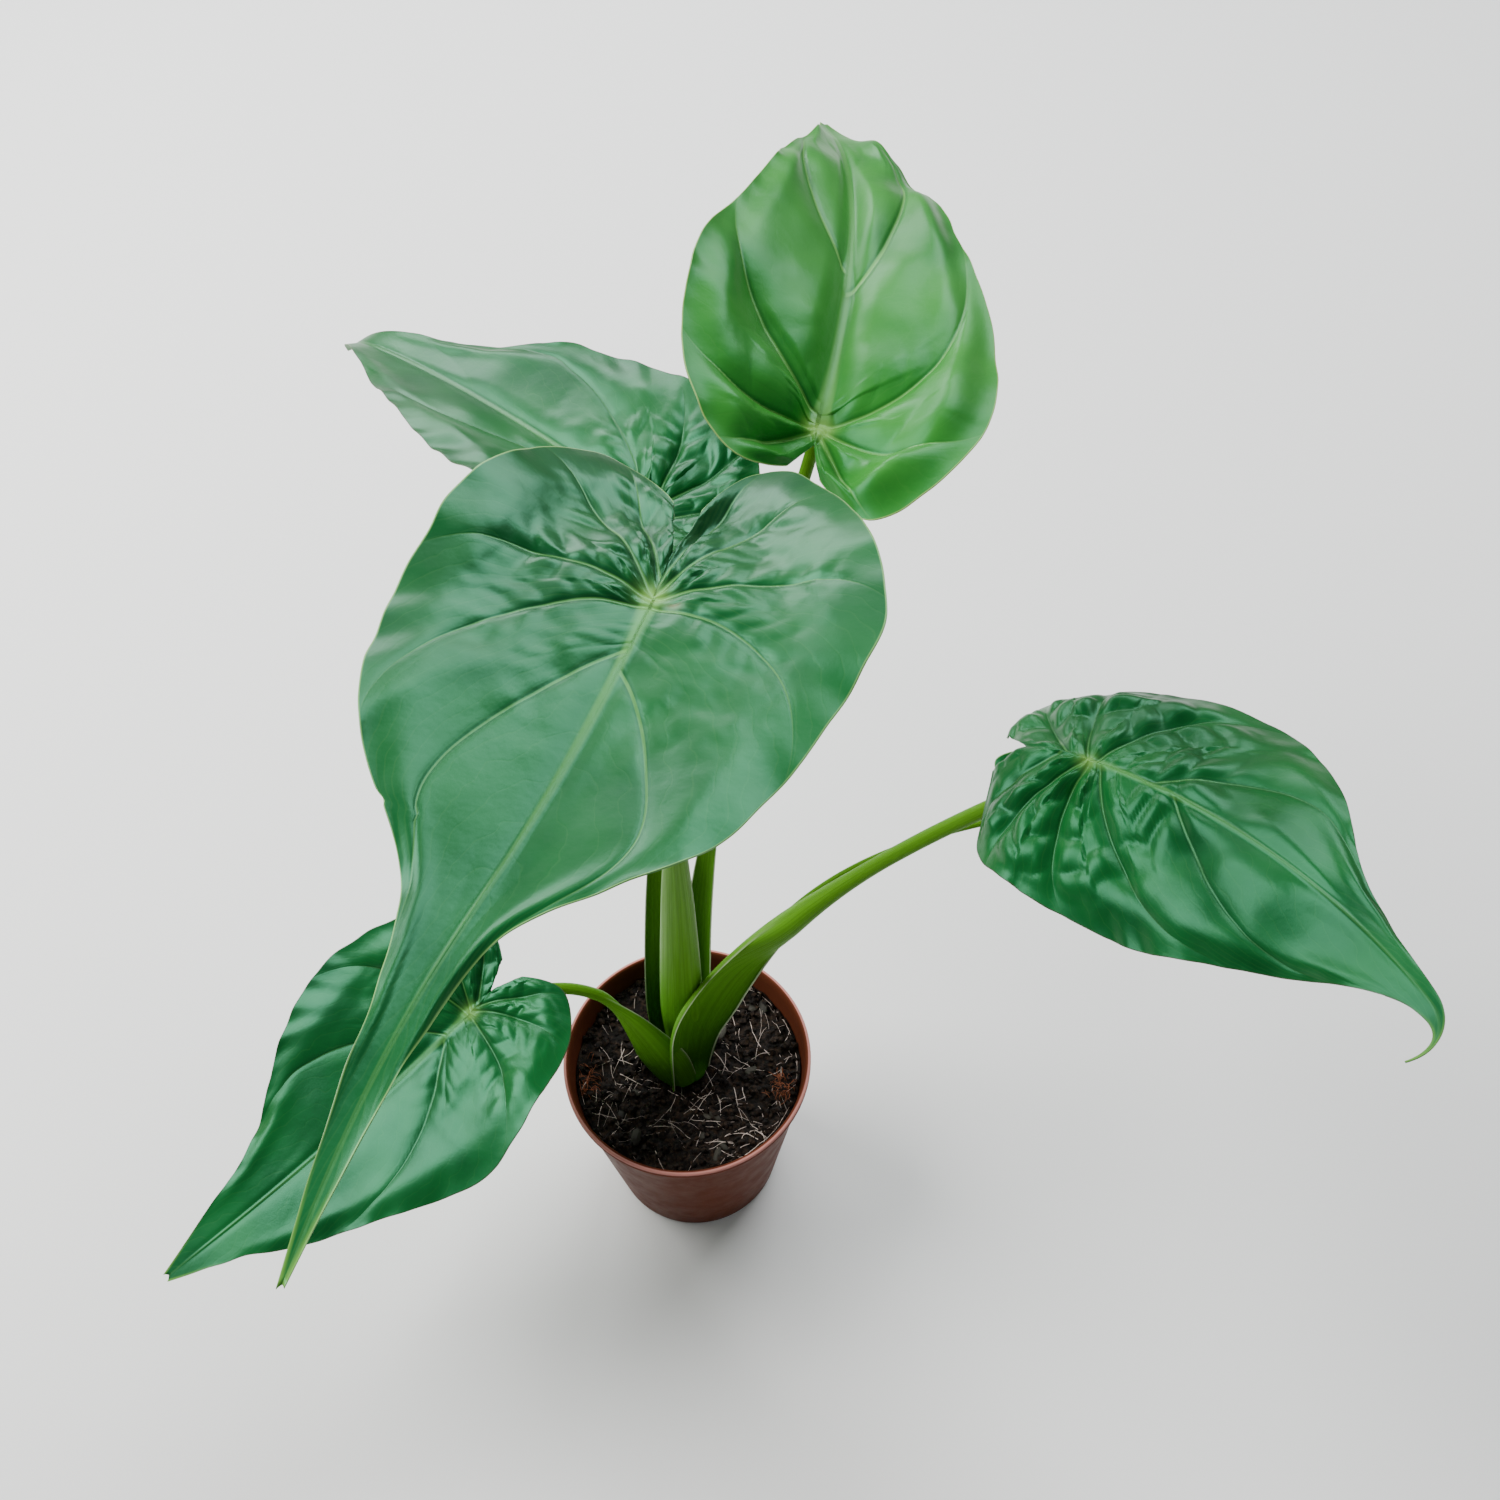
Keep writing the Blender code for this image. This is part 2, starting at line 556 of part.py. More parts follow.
def build_stalks(collection):
    """The crown and the stalks that grow from it, joined into one body."""
    foot = -CROWN_FOOT_DEPTH
    profile = [
        (0.0, CROWN_HEIGHT + CROWN_DOME),
        (0.45 * CROWN_RADIUS, CROWN_HEIGHT),
        (0.80 * CROWN_RADIUS, 0.75 * CROWN_HEIGHT),
        (0.97 * CROWN_RADIUS, 0.45 * CROWN_HEIGHT),
        (CROWN_RADIUS, 0.23 * CROWN_HEIGHT),
        (CROWN_FOOT_RADIUS, 0.06 * CROWN_HEIGHT),
        (CROWN_FOOT_RADIUS, foot + CROWN_FOOT_TAPER),
        (0.70 * CROWN_FOOT_RADIUS, foot),
        (0.0, foot),
    ]
    stalks = turned("stalks", profile, CROWN_SIDES, collection, (*CROWN_CENTRE, SOIL_LEVEL))
    paint(stalks, STALK_COLOUR, 0.40)
    apply_modifiers(stalks)
    lofts = new_collection("stalk_lofts")
    for name in STALKS:
        build_stalk(name, lofts)
    add_boolean(stalks, "UNION", lofts, "EXACT")
    apply_modifiers(stalks)
    for loft in list(lofts.objects):
        bpy.data.objects.remove(loft, do_unlink=True)
    bpy.data.collections.remove(lofts)
    shade_round(stalks)


def wall_slope():
    """How much the pot's radius grows for each metre of height."""
    return (POT_RIM_RADIUS - LIP_REACH - POT_FOOT_RADIUS) / (POT_HEIGHT - LIP_HEIGHT)


def build_pot(collection):
    """Thin tapering pot with a small double lip and drain holes round its floor."""
    lip_base = POT_HEIGHT - LIP_HEIGHT
    wall_top = POT_RIM_RADIUS - LIP_REACH
    rim = POT_RIM_RADIUS
    inner_foot = POT_FOOT_RADIUS - POT_WALL
    corner = POT_FLOOR + POT_INNER_CHAMFER
    profile = [
        (0.0, POT_FLOOR),
        (inner_foot - 0.5 * POT_INNER_CHAMFER, POT_FLOOR),
        (inner_foot + wall_slope() * corner, corner),
        (wall_top - POT_WALL, lip_base),
        (wall_top - LIP_ROUND, POT_HEIGHT - LIP_ROUND),
        (rim - 3 * LIP_ROUND, POT_HEIGHT),
        (rim - LIP_ROUND, POT_HEIGHT - LIP_ROUND),
        (rim, lip_base + 3.5 * LIP_BEAD),
        (rim - LIP_GROOVE, lip_base + 2.7 * LIP_BEAD),
        (rim, lip_base + 1.9 * LIP_BEAD),
        (rim - LIP_ROUND, lip_base + LIP_BEAD),
        (wall_top, lip_base),
        (POT_FOOT_RADIUS, POT_FOOT_CHAMFER),
        (POT_FOOT_RADIUS - POT_FOOT_CHAMFER, 0.0),
        (0.0, 0.0),
    ]
    pot = turned("pot", profile, POT_SIDES, collection)
    paint(pot, POT_COLOUR, 0.45)
    apply_modifiers(pot)
    drain_cutters = new_collection("drain_cutters")
    for index in range(DRAIN_HOLES):
        angle = 2 * math.pi * index / DRAIN_HOLES
        centre = (DRAIN_RING_RADIUS * math.cos(angle), DRAIN_RING_RADIUS * math.sin(angle), 0.5 * POT_FLOOR)
        add_cylinder_cutter(
            "drain_cutter", DRAIN_HOLE_RADIUS, 3 * POT_FLOOR, DRAIN_HOLE_SIDES, drain_cutters, centre)
    add_boolean(pot, "DIFFERENCE", drain_cutters, "MANIFOLD")
    shade_round(pot)


def build_soil(collection):
    """Peat that fills the pot, crumbly on top, with a plain round hole that the crown stands in."""
    inner_foot = POT_FOOT_RADIUS - POT_WALL - CLEARANCE
    wall_radius = inner_foot + wall_slope() * SOIL_LEVEL
    floor = POT_FLOOR + CLEARANCE
    corner = floor + SOIL_FOOT_CHAMFER
    profile = [(0.0, 0.0)]
    for index in range(1, SOIL_RINGS):
        share = index / SOIL_RINGS
        profile.append((wall_radius * share, SOIL_RISE_AT_WALL * share ** 2))
    profile += [
        (wall_radius, SOIL_RISE_AT_WALL),
        (inner_foot + wall_slope() * corner, corner - SOIL_LEVEL),
        (inner_foot - 0.5 * SOIL_FOOT_CHAMFER, floor - SOIL_LEVEL),
        (0.0, floor - SOIL_LEVEL),
    ]
    soil = turned("soil", profile, SOIL_SIDES, collection, (0.0, 0.0, SOIL_LEVEL))
    paint(soil, SOIL_COLOUR, 0.95)
    apply_modifiers(soil)
    for vertex in soil.data.vertices:
        radius = math.hypot(vertex.co.x, vertex.co.y)
        if vertex.co.z < 0.0 or radius > wall_radius - MERGE_DISTANCE:
            continue
        crown_distance = math.hypot(vertex.co.x - CROWN_CENTRE[0], vertex.co.y - CROWN_CENTRE[1])
        away = float(smooth_step((crown_distance - CROWN_RADIUS) / SOIL_DISH_WIDTH))
        crumb = noise.noise(Vector((vertex.co.x, vertex.co.y, 0.0)) * SOIL_CRUMBS_PER_METRE)
        vertex.co.z += away * SOIL_CRUMB * crumb - (1.0 - away) * SOIL_DISH_AT_CROWN
    crown_hole = new_collection("crown_hole")
    hole = (CROWN_FOOT_RADIUS + CLEARANCE) / math.cos(math.pi / CROWN_SIDES)
    depth = 2 * (CROWN_FOOT_DEPTH + CLEARANCE)
    crown_foot = (*CROWN_CENTRE, SOIL_LEVEL)
    add_cylinder_cutter("crown_hole_cutter", hole, depth, CROWN_SIDES, crown_hole, crown_foot)
    add_boolean(soil, "DIFFERENCE", crown_hole, "EXACT")
    shade_round(soil)


def main():
    """Build every piece of the plant and its pot."""
    clear_scene()
    plant = new_collection(NAME)
    build_pot(plant)
    build_soil(plant)
    build_stalks(plant)
    for name in LEAVES:
        build_blade(name, plant)


main()
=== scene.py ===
"""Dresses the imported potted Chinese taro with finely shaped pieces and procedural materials."""

import math
import random
from types import SimpleNamespace

import bmesh
import bpy
import numpy as np
from bpy.props import FloatProperty, FloatVectorProperty, IntProperty, PointerProperty
from mathutils import Matrix, Vector, noise


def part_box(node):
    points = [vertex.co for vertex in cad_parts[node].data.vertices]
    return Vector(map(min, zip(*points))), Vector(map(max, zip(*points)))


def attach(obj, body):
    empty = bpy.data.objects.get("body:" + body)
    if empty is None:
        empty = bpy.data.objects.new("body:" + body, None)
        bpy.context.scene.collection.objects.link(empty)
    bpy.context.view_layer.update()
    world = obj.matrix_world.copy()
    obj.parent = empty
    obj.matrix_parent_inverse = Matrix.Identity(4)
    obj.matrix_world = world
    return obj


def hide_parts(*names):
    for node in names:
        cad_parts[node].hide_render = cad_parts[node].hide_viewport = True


bl_info = {
    "name": "Potted Chinese taro",
    "version": (1, 0, 0),
    "blender": (4, 5, 0),
    "location": "View3D > Sidebar > Taro",
    "description": "Builds the leaves, stalks, peat and pot of a small Chinese taro",
    "category": "Object",
}

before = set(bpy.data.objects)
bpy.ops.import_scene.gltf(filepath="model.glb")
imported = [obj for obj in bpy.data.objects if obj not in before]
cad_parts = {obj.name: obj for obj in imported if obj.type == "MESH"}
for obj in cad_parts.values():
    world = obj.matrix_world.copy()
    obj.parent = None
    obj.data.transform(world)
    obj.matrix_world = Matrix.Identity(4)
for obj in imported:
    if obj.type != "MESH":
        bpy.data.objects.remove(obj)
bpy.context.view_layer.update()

MILLIMETRE = 0.001
ROOT = "root"

# Leaves as they grow. The junction is where stalk, midrib and veins meet, and widths are measured from the
# midrib at the stations, which are shares of the length. Angles are in degrees: heading turns from +X to
# +Y, pitch is up, droop and sway are gained by the tip and the tail's own from tail_start on, roll lifts
# the right side, fold is the slope of each half away from the midrib and curl is gained over CURL_REACH of
# it. A vein is its share of the way from notch to tip, first at the midrib and then at the margin.
# Relief: pillow swells between the veins, groove and channel sink along veins and midrib, pucker scales the
# blisters that line the veins as far as pucker_reach from the junction, cell is their size and slant their
# lean, body_pucker is the share of them past the lobes, bubbles are softer lumps, sway_relief is a broad
# wave, bowl hollows each lobe, the two ridges swell short of the margin and edge_wave moves the margin.
# Nicks are (share of the margin, spread, depth), flaps (share, spread, height) and scars (distance out,
# distance along, reach). Thread is where the tip starts to thin and the share of its width that it keeps.
# Pairs are (left, right).
CURL_REACH = 0.070
LEAST_CURL = 0.001
EVEN_STATIONS = (0.0, 0.20, 0.40, 0.60, 0.80)
LEAVES = {
    "front": {
        "junction": (0.012, -0.070, 0.513), "length": 0.194, "notch": 0.025, "finish": "leaf_pale_edge",
        "stations": (0.0, 0.196, 0.372, 0.549, 0.77),
        "left_widths": (0.060, 0.052, 0.040, 0.008, 0.004),
        "right_widths": (0.058, 0.057, 0.045, 0.015, 0.005),
        "left_lobe": (0.014, 0.064), "right_lobe": (0.032, 0.051),
        "heading": -107, "sway": -14, "pitch": 2, "droop": -14, "lobe_bend": 19, "roll": 3, "twist": 4,
        "tail_start": 0.46, "tail_droop": 13, "tail_sway": 17,
        "fold_at_base": (10, 10), "fold_at_tip": (5, 5), "curl_at_base": (0, 0), "curl_at_tip": (-10, -8),
        "lobe_fold": (6, 2), "edge_wave": 0.0020,
        "left_veins": ((0.10, 0.12), (0.17, 0.20), (0.29, 0.36), (0.40, 0.52), (0.585, 0.74)),
        "right_veins": ((0.09, 0.11), (0.165, 0.19), (0.285, 0.36), (0.40, 0.56), (0.57, 0.76)),
        "seed": 3.0, "body_pucker": 0.12, "groove": 0.0003, "groove_width": 0.0042,
        "channel": 0.0005, "pillow": 0.0002,
        "pucker": 0.80, "pucker_reach": 0.028, "cell": 0.0070, "slant": 0.75, "sway_relief": 0.0008,
        "bubbles": 0.0004,
        "bowl": (0.0034, 0.0044), "lobe_ridge": (0.0002, 0.0004), "body_ridge": (0.0008, 0.0010),
        "left_scars": ((0.0065, 0.0030, 0.0020),), "right_nicks": ((0.63, 0.005, 0.0010),),
    },
    "upright": {
        "junction": (0.063, 0.081, 0.434), "length": 0.242, "notch": 0.014, "finish": "young_leaf",
        "stations": EVEN_STATIONS,
        "left_widths": (0.056, 0.061, 0.045, 0.030, 0.012),
        "right_widths": (0.059, 0.055, 0.041, 0.031, 0.012),
        "left_lobe": (0.027, 0.033), "right_lobe": (0.027, 0.043),
        "heading": 75, "sway": 24, "pitch": 9, "droop": 41, "lobe_bend": -3, "roll": -12, "twist": -10,
        "tail_start": 0.84, "tail_droop": -16, "tail_sway": -1,
        "fold_at_base": (21, 20), "fold_at_tip": (6, 5), "curl_at_base": (0, 1), "curl_at_tip": (-10, -10),
        "lobe_fold": (12, 12), "edge_wave": 0.0012,
        "left_veins": ((0.11, 0.13), (0.175, 0.27), (0.405, 0.52), (0.62, 0.84)),
        "right_veins": ((0.10, 0.12), (0.17, 0.27), (0.30, 0.56), (0.59, 0.88)),
        "seed": 17.0, "body_pucker": 0.60, "groove": 0.0016, "groove_width": 0.0050,
        "channel": 0.0022, "pillow": 0.0034,
        "pucker": 0.50, "pucker_reach": 0.020, "cell": 0.0150, "slant": 0.50, "sway_relief": 0.0016,
        "bubbles": 0.0006,
        "bowl": (0.0, 0.0), "lobe_ridge": (0.0020, 0.0060), "body_ridge": (0.0010, 0.0016),
        "right_flaps": ((0.83, 0.035, 0.0035), (0.74, 0.03, -0.0025)), "left_flaps": ((0.86, 0.04, 0.0025),),
    },
    "back": {
        "junction": (-0.002, 0.116, 0.363), "length": 0.232, "notch": 0.034, "finish": "leaf",
        "stations": EVEN_STATIONS,
        "left_widths": (0.056, 0.057, 0.046, 0.031, 0.012),
        "right_widths": (0.055, 0.058, 0.047, 0.024, 0.012),
        "left_lobe": (0.026, 0.047), "right_lobe": (0.017, 0.035),
        "heading": 134, "sway": 1, "pitch": -1, "droop": 18, "lobe_bend": 1, "roll": -10, "twist": 6,
        "tail_start": 0.77, "tail_droop": 34, "tail_sway": -15,
        "fold_at_base": (19, 17), "fold_at_tip": (11, 12), "curl_at_base": (4, 4), "curl_at_tip": (-5, -7),
        "lobe_fold": (4, 10), "edge_wave": 0.0016,
        "left_veins": ((0.10, 0.12), (0.19, 0.26), (0.33, 0.45), (0.54, 0.76)),
        "right_veins": ((0.09, 0.10), (0.165, 0.19), (0.275, 0.37), (0.44, 0.68)),
        "seed": 29.0, "body_pucker": 0.50, "groove": 0.0010, "groove_width": 0.0050,
        "channel": 0.0011, "pillow": 0.0013,
        "pucker": 0.80, "pucker_reach": 0.030, "cell": 0.0100, "slant": 0.80, "sway_relief": 0.0012,
        "bubbles": 0.0007,
        "bowl": (0.0010, 0.0010), "lobe_ridge": (0.0020, 0.0020), "body_ridge": (0.0015, 0.0010),
    },
    "right": {
        "junction": (0.161, 0.009, 0.331), "length": 0.188, "notch": 0.045, "finish": "leaf_deep",
        "stations": EVEN_STATIONS,
        "left_widths": (0.052, 0.057, 0.039, 0.012, 0.004),
        "right_widths": (0.056, 0.058, 0.050, 0.031, 0.007),
        "left_lobe": (0.019, 0.051), "right_lobe": (0.040, 0.043),
        "heading": -42, "sway": -38, "pitch": 18, "droop": 10, "lobe_bend": 38, "roll": -10, "twist": -23,
        "tail_start": 0.81, "tail_droop": 30, "tail_sway": -100,
        "fold_at_base": (-16, -14), "fold_at_tip": (-8, -11), "curl_at_base": (-16, -11),
        "curl_at_tip": (-9, -11), "lobe_fold": (12, -2), "edge_wave": 0.0014,
        "left_veins": ((0.10, 0.12), (0.19, 0.23), (0.34, 0.46), (0.57, 0.74)),
        "right_veins": ((0.09, 0.11), (0.17, 0.20), (0.29, 0.38), (0.43, 0.66), (0.60, 0.80)),
        "seed": 41.0, "body_pucker": 1.00, "groove": 0.0010, "groove_width": 0.0038,
        "channel": 0.0010, "pillow": 0.0011,
        "pucker": 1.60, "pucker_reach": 0.040, "cell": 0.0135, "slant": 0.60, "sway_relief": 0.0018,
        "bubbles": 0.0010, "thread": (0.83, 0.34),
        "bowl": (0.0, 0.0), "lobe_ridge": (0.0020, 0.0018), "body_ridge": (0.0010, 0.0012),
    },
    "left": {
        "junction": (-0.096, -0.002, 0.166), "length": 0.180, "notch": 0.020, "finish": "leaf",
        "stations": EVEN_STATIONS,
        "left_widths": (0.058, 0.065, 0.051, 0.034, 0.014),
        "right_widths": (0.057, 0.064, 0.052, 0.026, 0.012),
        "left_lobe": (0.024, 0.037), "right_lobe": (0.022, 0.032),
        "heading": 220, "sway": -6, "pitch": -18, "droop": -6, "lobe_bend": 8, "roll": 6, "twist": 5,
        "tail_start": 0.78, "tail_droop": 7, "tail_sway": -2,
        "fold_at_base": (13, 12), "fold_at_tip": (1, 2), "curl_at_base": (-1, 1), "curl_at_tip": (-8, -7),
        "lobe_fold": (-15, 1), "edge_wave": 0.0014,
        "left_veins": ((0.10, 0.12), (0.155, 0.22), (0.305, 0.40), (0.56, 0.70)),
        "right_veins": ((0.09, 0.11), (0.17, 0.24), (0.31, 0.44), (0.55, 0.72)),
        "seed": 53.0, "body_pucker": 0.45, "groove": 0.0008, "groove_width": 0.0042,
        "channel": 0.0009, "pillow": 0.0009,
        "pucker": 0.75, "pucker_reach": 0.032, "cell": 0.0085, "slant": 0.75, "sway_relief": 0.0009,
        "bubbles": 0.0004,
        "bowl": (0.0010, 0.0010), "lobe_ridge": (0.0020, 0.0020), "body_ridge": (0.0012, 0.0012),
    },
    "young": {
        "junction": (0.152, 0.030, 0.268), "length": 0.088, "notch": 0.010, "finish": "leaf_pale_edge",
        "stations": EVEN_STATIONS,
        "left_widths": (0.026, 0.027, 0.021, 0.013, 0.005),
        "right_widths": (0.026, 0.027, 0.021, 0.013, 0.005),
        "left_lobe": (0.014, 0.022), "right_lobe": (0.014, 0.022),
        "heading": -25, "sway": 0, "pitch": -4, "droop": 20, "lobe_bend": 0, "roll": 0, "twist": 0,
        "tail_start": 0.80, "tail_droop": 10, "tail_sway": 0,
        "fold_at_base": (14, 14), "fold_at_tip": (8, 8), "curl_at_base": (0, 0), "curl_at_tip": (-6, -6),
        "lobe_fold": (4, 4), "edge_wave": 0.0006,
        "left_veins": ((0.15, 0.18), (0.35, 0.42), (0.60, 0.75)),
        "right_veins": ((0.15, 0.18), (0.35, 0.42), (0.60, 0.75)),
        "seed": 67.0, "body_pucker": 0.50, "groove": 0.0006, "groove_width": 0.0030,
        "channel": 0.0005, "pillow": 0.0003,
        "pucker": 0.30, "pucker_reach": 0.012, "cell": 0.0050, "slant": 0.70, "sway_relief": 0.0003,
        "bubbles": 0.0001,
        "bowl": (0.0, 0.0), "lobe_ridge": (0.0003, 0.0003), "body_ridge": (0.0003, 0.0003),
    },
}

# Stalks: where each leaves the crown, the direction it leaves in and how far it keeps to that, the
# direction it arrives in and from how far, its radii, and its sheath: the share of the length it reaches,
# how much wider than round it is and where its open side faces. Where they differ from the usual, also the
# degrees that the sheath wraps, its depth as a share of its radius, how thin the gathered foot is and the
# share where that ends, the share where the swelling ends, and how deep under the junction the top sits.
STALKS = {
    "front": {
        "foot": (-0.002, 0.012), "leaves": (0.035, -0.04, 1.0), "straight": 0.16,
        "arrives": (0.0, -0.35, 1.0), "ends": 0.08, "base_radius": 0.0086, "top_radius": 0.0030,
        "sheath": 0.60, "flare": 0.28, "opens": (0.3, 0.9, 0.0), "swelling": 0.64,
    },
    "upright": {
        "foot": (0.004, 0.014), "leaves": (0.015, 0.11, 1.0), "straight": 0.17,
        "arrives": (0.25, 0.20, 1.0), "ends": 0.06, "base_radius": 0.0065, "top_radius": 0.0024,
        "sheath": 0.42, "flare": 0.25, "opens": (-0.3, -1.0, 0.2),
    },
    "back": {
        "foot": (-0.009, 0.010), "leaves": (-0.05, 0.20, 1.0), "straight": 0.12,
        "arrives": (-0.10, 0.45, 1.0), "ends": 0.06, "base_radius": 0.0060, "top_radius": 0.0026,
        "sheath": 0.50, "flare": 0.50, "opens": (0.1, -1.0, 0.3),
    },
    "right": {
        "foot": (0.001, -0.005), "leaves": (0.06, 0.05, 1.0), "straight": 0.11,
        "arrives": (0.72, -0.10, 0.62), "ends": 0.09, "base_radius": 0.0142, "top_radius": 0.0032,
        "sheath": 0.47, "flare": 0.34, "opens": (0.50, -0.62, 0.50), "wrap": 205, "depth": 0.52,
        "gather": (0.56, 0.20), "swelling": 0.66, "seat": 0.0058,
    },
    "left": {
        "foot": (-0.006, 0.001), "leaves": (-0.35, 0.10, 1.0), "straight": 0.070,
        "arrives": (-0.90, -0.38, -0.12), "ends": 0.050, "base_radius": 0.0118, "top_radius": 0.0027,
        "sheath": 0.46, "flare": 0.40, "opens": (0.45, 0.85, 0.25), "wrap": 190,
    },
    "young": {
        "foot": (0.009, 0.007), "leaves": (0.22, 0.16, 1.0), "straight": 0.11,
        "arrives": (0.95, 0.02, 0.22), "ends": 0.08, "base_radius": 0.0030, "top_radius": 0.0013,
        "sheath": 0.30, "flare": 0.05, "opens": (-1.0, 0.0, 0.4),
    },
}

# Margin of a half behind the junction: each point's shares of the lobe's width, of the width at the
# junction, of the notch's depth and of the lobe's length
LOBE_POINTS = (
    (0.0, 0.0, 1.0, 0.0), (0.30, 0.0, 0.5, 0.5), (1.0, 0.0, 0.0, 1.0), (0.62, 0.42, 0.0, 0.80),
    (0.25, 0.78, 0.0, 0.42),
)
LOBE_LENGTH_SHARE = 0.25
MARGIN_STEPS = 600
MARGIN_WOBBLE = 0.0006
MARGIN_WOBBLES = 26.0
CURVE_STEPS = 24

# Blade grid: rows run from notch to tip, columns from the midrib out to each margin. A rib that reaches the
# margin at one of these shares of it starts at that share of the notch or, farther on, of the length
FIRST_RIB_SHARE = 0.035
LAST_RIB_SHARE = 0.980
RIB_MARGIN_SHARES = (0.0, 0.05, 0.10, 0.17, 0.28, 0.42, 0.58, 0.70, 0.82, 0.92, 1.0)
RIB_NOTCH_ROOTS = (-1.0, -0.50, -0.18)
RIB_LENGTH_ROOTS = (0.0, 0.006, 0.025, 0.10, 0.24, 0.46, 0.72, 1.0)
RIB_SWEEP = 1.15
RIB_SLANT = 1.0
RIB_ARCH = 0.16
COLUMN_CROWDING = 1.08
LAST_COLUMN = 0.994
HALVES_APART = 40.0
MIDRIB_START = -0.4
MIDRIB_STEPS = 201
DROOP_GROWTH = 1.5
BLADE_VALUES = (
    "vein_spacing", "vein_strength", "cross", "cross_strength", "midrib_mask", "edge_gap", "hub_mask", "scar",
    "tip",
)

# Where parts of a blade ease in or out, as (start, span). Shares from notch to tip:
LOBES_END = (0.22, 0.34)
BODY_ENDS = (0.72, 0.16)
PILLOWS_END = (0.66, 0.22)
VEINS_END = (0.80, 0.10)
WAVES_END = (0.75, 0.2)
# Share from hub to tip:
TIP_STARTS = (0.80, 0.2)
# Shares from midrib to margin:
INSIDE_STARTS = (0.0, 0.22)
INSIDE_ENDS = (0.72, 0.26)
VEINS_THIN = (0.70, 0.28)
FLAPS_START = (0.35, 0.65)
# Metres of a rib's length, of the way from hub to tip and of the half's width:
NOTCH_CALM_ENDS = (0.018, 0.026)
MIDRIB_STARTS = (-0.004, 0.008)
ROOM_STARTS = (0.002, 0.010)

# Blade relief and thickness, for a blade of the typical length
TYPICAL_LENGTH = 0.190
PILLOW_PATCH = (0.024, 0.028)
BROAD_WAVE = (0.034, 0.038)
WIDEST_VEIN_SPACING = 0.060
FINE_GROOVE_DEPTH = 0.00030
FINE_GROOVE_WIDTH = 0.0009
BLISTER_HEIGHT = 0.0021
FEATHER_HEIGHT = 0.00022
NOTCH_CALM = 0.85
EDGE_WAVES = 3.5
EDGE_WAVE_SHIFTS = (0.0, 1.7)
EDGE_RIPPLES = 34.0
EDGE_RIPPLE_HEIGHT = 0.0009
# Place and width of the lobe's bowl and of the side ridge, as shares from midrib to margin
LOBE_BOWL = (0.56, 0.20)
SIDE_RIDGE = (0.76, 0.155)
RIB_HEIGHT = 0.0005
LEAST_RIB_WIDTH = 0.0005
RIB_WIDTH_GAIN = 0.0006
HUB_RIB_WIDTH_GAIN = 0.0014
HUB_RIB_REACH = 0.020
CHANNEL_RIB_WIDTHS = 3.2
HUB_DIP = 0.0009
HUB_DIP_REACH = 0.007
BLADE_THICKNESS = 0.00055
EDGE_THICKNESS = 0.00040
MIDRIB_BULGE = 0.0022
MIDRIB_BULGE_RIB_WIDTHS = 1.8
VEIN_BULGE = 0.0006
VEIN_BULGE_WIDTH = 0.0010

# Finishes of the blades: which greens of the settings they take, the thin edge's colour and how much of it
# shows, the share of vein colour and the width of the veins in millimetres near the midrib and at the
# margin, and the gloss
BLADE_FINISHES = {
    "leaf": {
        "greens": ("deep", "bright"), "edge": (0.045, 0.040, 0.022), "edge_share": 0.8,
        "vein_shares": (0.32, 0.12), "vein_widths": (0.62, 0.20), "gloss": 0.50,
    },
    "leaf_deep": {
        "greens": ("deep", "bright"), "edge": (0.045, 0.040, 0.022), "edge_share": 0.8,
        "vein_shares": (0.26, 0.10), "vein_widths": (0.62, 0.20), "gloss": 0.36,
    },
    "leaf_pale_edge": {
        "greens": ("deep", "bright"), "edge": (0.22, 0.42, 0.12), "edge_share": 0.7,
        "vein_shares": (0.55, 0.36), "vein_widths": (0.62, 0.22), "gloss": 0.50,
    },
    "young_leaf": {
        "greens": ("fresh_deep", "fresh_bright"), "edge": (0.30, 0.45, 0.12), "edge_share": 0.8,
        "vein_shares": (1.0, 0.65), "vein_widths": (1.10, 0.40), "gloss": 0.26,
    },
}
FINE_VEINS = 7.0

# Colours that aren't in the settings, among them the pink of the painted highlights on the pot's lip, and the
# tints of the gloss
HUB_GREEN = (0.20, 0.40, 0.07)
UNDER_VEIN_GREEN = (0.17, 0.33, 0.10)
SCAR_BROWN = (0.13, 0.085, 0.035)
STREAK_GREEN = (0.16, 0.36, 0.06)
# Pink of the painted highlights along the pot's lip
LIP_HIGHLIGHT_PINK = (0.50, 0.21, 0.18)
DUST_BEIGE = (0.42, 0.33, 0.28)
SPECK_BROWN = (0.05, 0.02, 0.015)
MOIST_BROWN = (0.040, 0.022, 0.012)
FLECK_BROWN = (0.16, 0.10, 0.06)
BARK_BROWN = (0.034, 0.030, 0.021)
LEAF_GLOSS_TINT = (0.24, 1.0, 0.60, 1.0)
STALK_GLOSS_TINT = (0.75, 1.0, 0.35, 1.0)
POT_GLOSS_TINT = (1.0, 0.62, 0.50, 1.0)

# Stalk loft
SHEATH_WALL = 0.0014
SHEATH_EDGE = 0.0006
SHEATH_WRAP = 180
STALK_SWELLING_SHARE = 0.45
STALK_GATHER = (0.78, 0.10)
STALK_SEAT_DEPTH = 0.0040
STALK_SINK = 0.0080
STALK_FOOT_HEIGHT = 0.0060
STALK_RINGS = 150
STALK_SIDES = 44

# Crown, with its profile as shares of its radius and height
CROWN_CENTRE = (-0.0020, 0.0050)
CROWN_RADIUS = 0.0132
CROWN_HEIGHT = 0.0085
CROWN_FOOT_DEPTH = 0.0220
CROWN_WOBBLE = 0.0012
CROWN_WOBBLE_SCALE = 120.0
CROWN_STILL = 0.002
CROWN_SIDES = 64
CROWN_PROFILE = (
    (0.45, 1.0), (0.65, 0.90), (0.80, 0.75), (0.92, 0.60), (0.97, 0.45), (1.0, 0.23), (0.95, 0.05),
    (0.82, -0.2),
)

